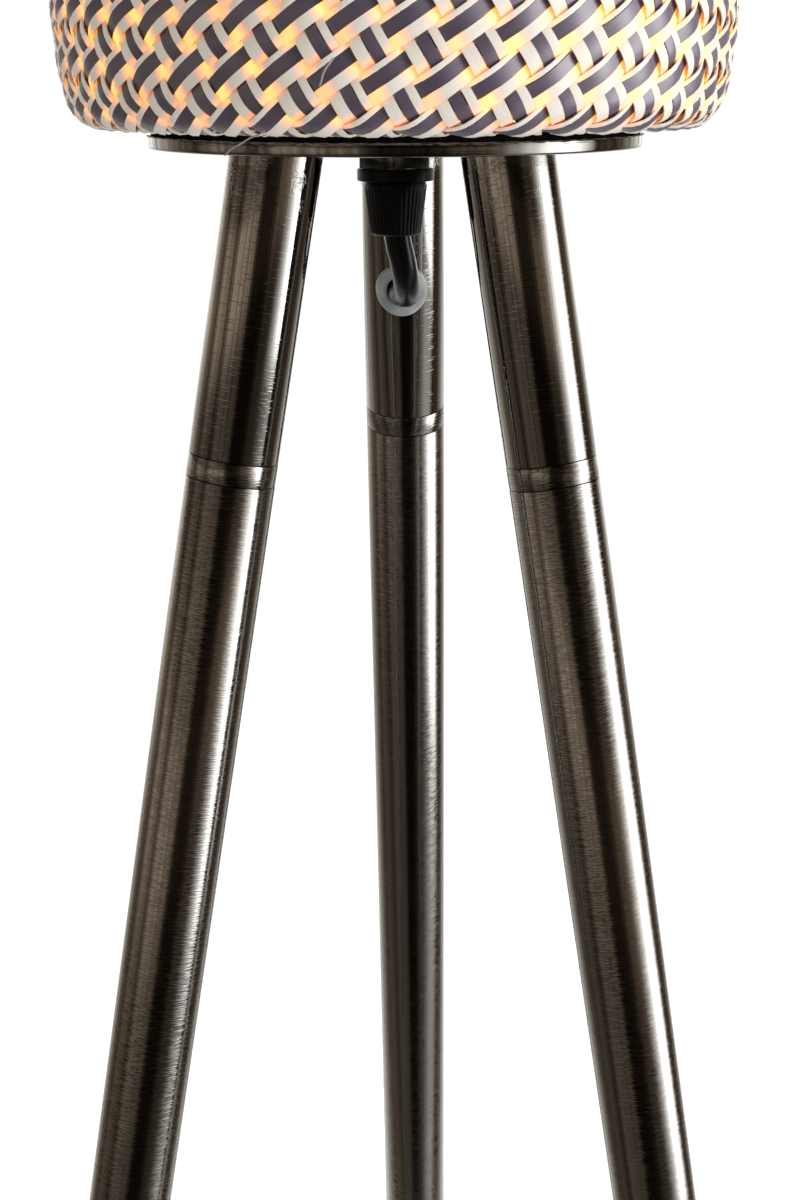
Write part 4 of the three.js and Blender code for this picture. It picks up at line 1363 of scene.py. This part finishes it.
# The walls of the studio round the lamp and the tall soft box before them, as polished pieces see them:
# brightness at angles from the front, in degrees
WALLS = [
    (-180, 1.0), (-152, 1.0), (-140, 0.75), (-128, 0.5), (-116, 0.26), (-104, 0.11), (-96, 0.07),
    (-92, 0.2), (-80, 0.3), (-70, 0.2), (-62, 0.06), (-57, 0.18), (-50, 0.3), (-30, 0.28),
    (-27, 0.2), (-14, 0.24), (-10, 0.05), (-4, 0.015), (12, 0.015), (24, 0.03), (30, 0.1),
    (46, 0.13), (54, 0.25), (62, 0.4), (90, 0.4), (98, 0.2), (106, 0.07), (122, 0.06),
    (134, 0.3), (146, 0.8), (160, 1.0), (180, 1.0),
]
SOFT_BOX = [
    (46, 0), (53, 0.05), (58, 0.12), (64, 0.28), (70, 0.55), (75, 0.9), (91, 1), (96, 0.6), (104, 0),
]


def warm_grey(level):
    """Dim stretches of the studio are brown, and its white walls are neutral."""
    warmth = max(0, 1 - level / 0.7)
    return level * (1 + 0.42 * warmth), level, level * (0.96 - 0.3 * warmth)


def neutral(level):
    return level, level, level


def all_round(levels, tone):
    """Stops of a ramp that goes once round the lamp."""
    return [((angle + 180) / 360, tone(level)) for angle, level in levels]


def studio_walls(graph, azimuth, y, z):
    """Walls in uneven stretches, brightest about the horizon and dim above it. Further down, those in
    front of the lamp are dimmer."""
    floor_side = 1.0 - z.rise(-0.26, -0.1)
    furniture = graph.noise(graph.vector(azimuth * 85.0), 1.0, 2.0).rise(0.36, 0.62)
    level = 1.0 - (y * -1.0).rise(-0.3, 0.2) * floor_side * 0.55
    level = level + z.rise(-0.2, -0.06) * 0.9 - z.rise(0.05, 0.11) * 1.3
    level = level * (0.55 + furniture * 0.75)
    return graph.scaled_colour(level, graph.ramp(azimuth, all_round(WALLS, warm_grey)))


def studio_world():
    """Pale surroundings. Polished pieces also see a studio: white walls behind the lamp, a tall soft
    box at its right and dim stretches in front."""
    world = bpy.data.worlds.new("studio")
    bpy.context.scene.world = world
    graph = Graph(world)
    direction = graph.add("TexCoord")
    x, y, z = (graph.part(direction, number) for number in range(3))
    azimuth = x.math("ARCTAN2", x, y * -1.0) / TURN + 0.5
    height = 0.12 + z.rise(-0.47, -0.38) * 0.88
    strength = height * settings().soft_box
    soft_box = graph.scaled_colour(strength, graph.ramp(azimuth, all_round(SOFT_BOX, neutral)))
    walls = studio_walls(graph, azimuth, y, z)
    around = graph.add("VectorMath", {"operation": "ADD"}, {0: walls, 1: soft_box})
    reflected = graph.blend((z * -1.0).rise(0.93, 0.98), around, neutral(0.12))
    seen = graph.add("LightPath")
    glossy = graph.add("LightPath", output=3)
    light = graph.blend(glossy, neutral(settings().fill_light), reflected)
    shown = graph.blend(seen, light, neutral(1.0))
    graph.surface(graph.add("Background", None, {"Color": shown, "Strength": 1.0}), "OutputWorld")
    world.cycles.sampling_method = "NONE"


def studio_floor(graph):
    """A pale floor that is white to the camera where nothing shades it. Polished pieces look through
    it at the walls."""
    seen = graph.add("LightPath", output=0)
    glossy = graph.add("LightPath", output=3)
    grain = graph.noise(graph.place(), 3.0, 2.0)
    plain = graph.add("BsdfDiffuse", None, {"Color": graph.blend(grain, neutral(0.78), neutral(0.8))})
    lift = graph.add("Emission", None, {"Color": (1, 1, 1, 1), "Strength": seen * 0.5})
    both = graph.add("AddShader", None, {0: plain, 1: lift})
    clear = graph.add("BsdfTransparent")
    return graph.add("MixShader", None, {0: glossy, 1: both, 2: clear})


def make_key_light():
    """The tall soft box at the lamp's right, for matt surfaces."""
    height, distance, width, length = 0.9, 1.3, 0.34, 2.2
    angle = math.radians(64)
    place = AXIS + Vector((distance * math.sin(angle), -distance * math.cos(angle), height))
    aim = AXIS + Vector((0, 0, height))
    light = bpy.data.lights.new("key", "AREA")
    light.shape = "RECTANGLE"
    light.size, light.size_y = width, length
    light.energy = settings().key_light * width * length * math.pi
    light.color = (0.97, 1.0, 1.12)
    lamp = bpy.data.objects.new("key", light)
    lamp.location = place
    lamp.rotation_euler = (aim - place).to_track_quat("-Z", "Y").to_euler()
    lamp.visible_glossy = False
    bpy.context.scene.collection.objects.link(lamp)


def make_stage():
    scene = bpy.context.scene
    scene.view_settings.view_transform = "Standard"
    make_camera()
    studio_world()
    floor = bmesh.new()
    bmesh.ops.create_grid(floor, x_segments=8, y_segments=8, size=9.0)
    mesh = bpy.data.meshes.new("floor")
    floor.to_mesh(mesh)
    floor.free()
    mesh.materials.append(finished(studio_floor))
    ground = bpy.data.objects.new("floor", mesh)
    scene.collection.objects.link(ground)
    make_key_light()


# Add-on


class LampSettings(bpy.types.PropertyGroup):
    """Sizes, colours and lights of the woven lamp."""

    rising_bulge: FloatProperty(
        name="Rising bulge", description="How far a rising strip stands out where it crosses over",
        default=0.00105, subtype="DISTANCE", unit="LENGTH", precision=5,
    )
    falling_bulge: FloatProperty(
        name="Falling bulge", description="How far a falling strip stands out where it crosses over",
        default=0.0008, subtype="DISTANCE", unit="LENGTH", precision=5,
    )
    strip_thickness: FloatProperty(
        name="Strip thickness", description="Thickness of one split strip",
        default=0.00032, subtype="DISTANCE", unit="LENGTH", precision=5,
    )
    nickel: FloatVectorProperty(
        name="Nickel", description="Colour of the brushed nickel",
        default=(0.27, 0.265, 0.252), subtype="COLOR", min=0, max=1,
    )
    bulb_power: FloatProperty(
        name="Bulb power", description="Light of the bulb inside the shade",
        default=1.2, unit="POWER",
    )
    fill_light: FloatProperty(
        name="Fill light", description="Brightness of the surroundings on matt surfaces",
        default=0.8,
    )
    key_light: FloatProperty(
        name="Key light", description="Brightness of the tall soft box on matt surfaces",
        default=8.4,
    )
    soft_box: FloatProperty(
        name="Soft box", description="Brightness of the tall soft box in polished surfaces",
        default=5.5,
    )


class LampOperator:
    """What the lamp's operators share."""

    bl_options = {"REGISTER", "UNDO"}


class LAMP_OT_stage(LampOperator, bpy.types.Operator):
    """Set up the camera, the floor and the light"""

    bl_idname = "lamp.stage"
    bl_label = "Stage"

    def execute(self, context):
        make_stage()
        return {"FINISHED"}


class LAMP_OT_free_lead(LampOperator, bpy.types.Operator):
    """Lay the free lead with its boot, foot switch, coil, tie and plug"""

    bl_idname = "lamp.free_lead"
    bl_label = "Free Lead"

    def execute(self, context):
        tail, tail_points, rest, rest_points = make_free_lead()
        switch = make_switch()
        far_pieces = [make_tie(), *make_plug()]
        run_length(tail_points)
        run_length(rest_points)
        return {"FINISHED"}


class LAMP_OT_legs(LampOperator, bpy.types.Operator):
    """Build the plate and the three tube legs, with the grommet and the boot in the rear one"""

    bl_idname = "lamp.legs"
    bl_label = "Plate and Legs"

    def execute(self, context):
        make_plate()
        rear_stub, rear_tube = make_leg("rear")
        make_leg("left")
        make_leg("right")
        make_grommet(rear_stub)
        make_boot(rear_tube)
        return {"FINISHED"}


class LAMP_OT_cord_grip(LampOperator, bpy.types.Operator):
    """Build the nut and the cord grip under the plate, and the lead that they hold"""

    bl_idname = "lamp.cord_grip"
    bl_label = "Cord Grip and Lead"

    def execute(self, context):
        make_nut()
        make_grip_base()
        make_grip_cap()
        make_held_lead()
        return {"FINISHED"}


class LAMP_OT_shade(LampOperator, bpy.types.Operator):
    """Weave the shade from its six kinds of strip"""

    bl_idname = "lamp.shade"
    bl_label = "Woven Shade"

    def execute(self, context):
        make_shade()
        make_slivers()
        return {"FINISHED"}


class LAMP_OT_shade_frame(LampOperator, bpy.types.Operator):
    """Build the wire cage that carries the shade"""

    bl_idname = "lamp.shade_frame"
    bl_label = "Wire Cage"

    def execute(self, context):
        make_shade_frame()
        return {"FINISHED"}


class LAMP_OT_lampholder(LampOperator, bpy.types.Operator):
    """Build the lampholder and the lit bulb"""

    bl_idname = "lamp.lampholder"
    bl_label = "Lampholder and Bulb"

    def execute(self, context):
        make_lampholder()
        make_bulb()
        return {"FINISHED"}


OPERATORS = (
    LAMP_OT_stage,
    LAMP_OT_free_lead,
    LAMP_OT_legs,
    LAMP_OT_cord_grip,
    LAMP_OT_shade,
    LAMP_OT_shade_frame,
    LAMP_OT_lampholder,
)


class LAMP_PT_panel(bpy.types.Panel):
    """Lists the lamp's settings and its operators"""

    bl_idname = "LAMP_PT_panel"
    bl_label = "Woven Lamp"
    bl_space_type = "VIEW_3D"
    bl_region_type = "UI"
    bl_category = "Lamp"

    def draw(self, context):
        for name in LampSettings.__annotations__:
            self.layout.prop(context.scene.woven_lamp, name)
        for operator in OPERATORS:
            self.layout.operator(operator.bl_idname)


CLASSES = (LampSettings, *OPERATORS, LAMP_PT_panel)


def register():
    for cls in CLASSES:
        bpy.utils.register_class(cls)
    bpy.types.Scene.woven_lamp = PointerProperty(type=LampSettings)


def unregister():
    del bpy.types.Scene.woven_lamp
    for cls in reversed(CLASSES):
        bpy.utils.unregister_class(cls)


def main():
    register()
    bpy.ops.lamp.stage()
    bpy.ops.lamp.free_lead()
    bpy.ops.lamp.legs()
    bpy.ops.lamp.cord_grip()
    bpy.ops.lamp.shade()
    bpy.ops.lamp.shade_frame()
    bpy.ops.lamp.lampholder()


if __name__ == "__main__":
    main()
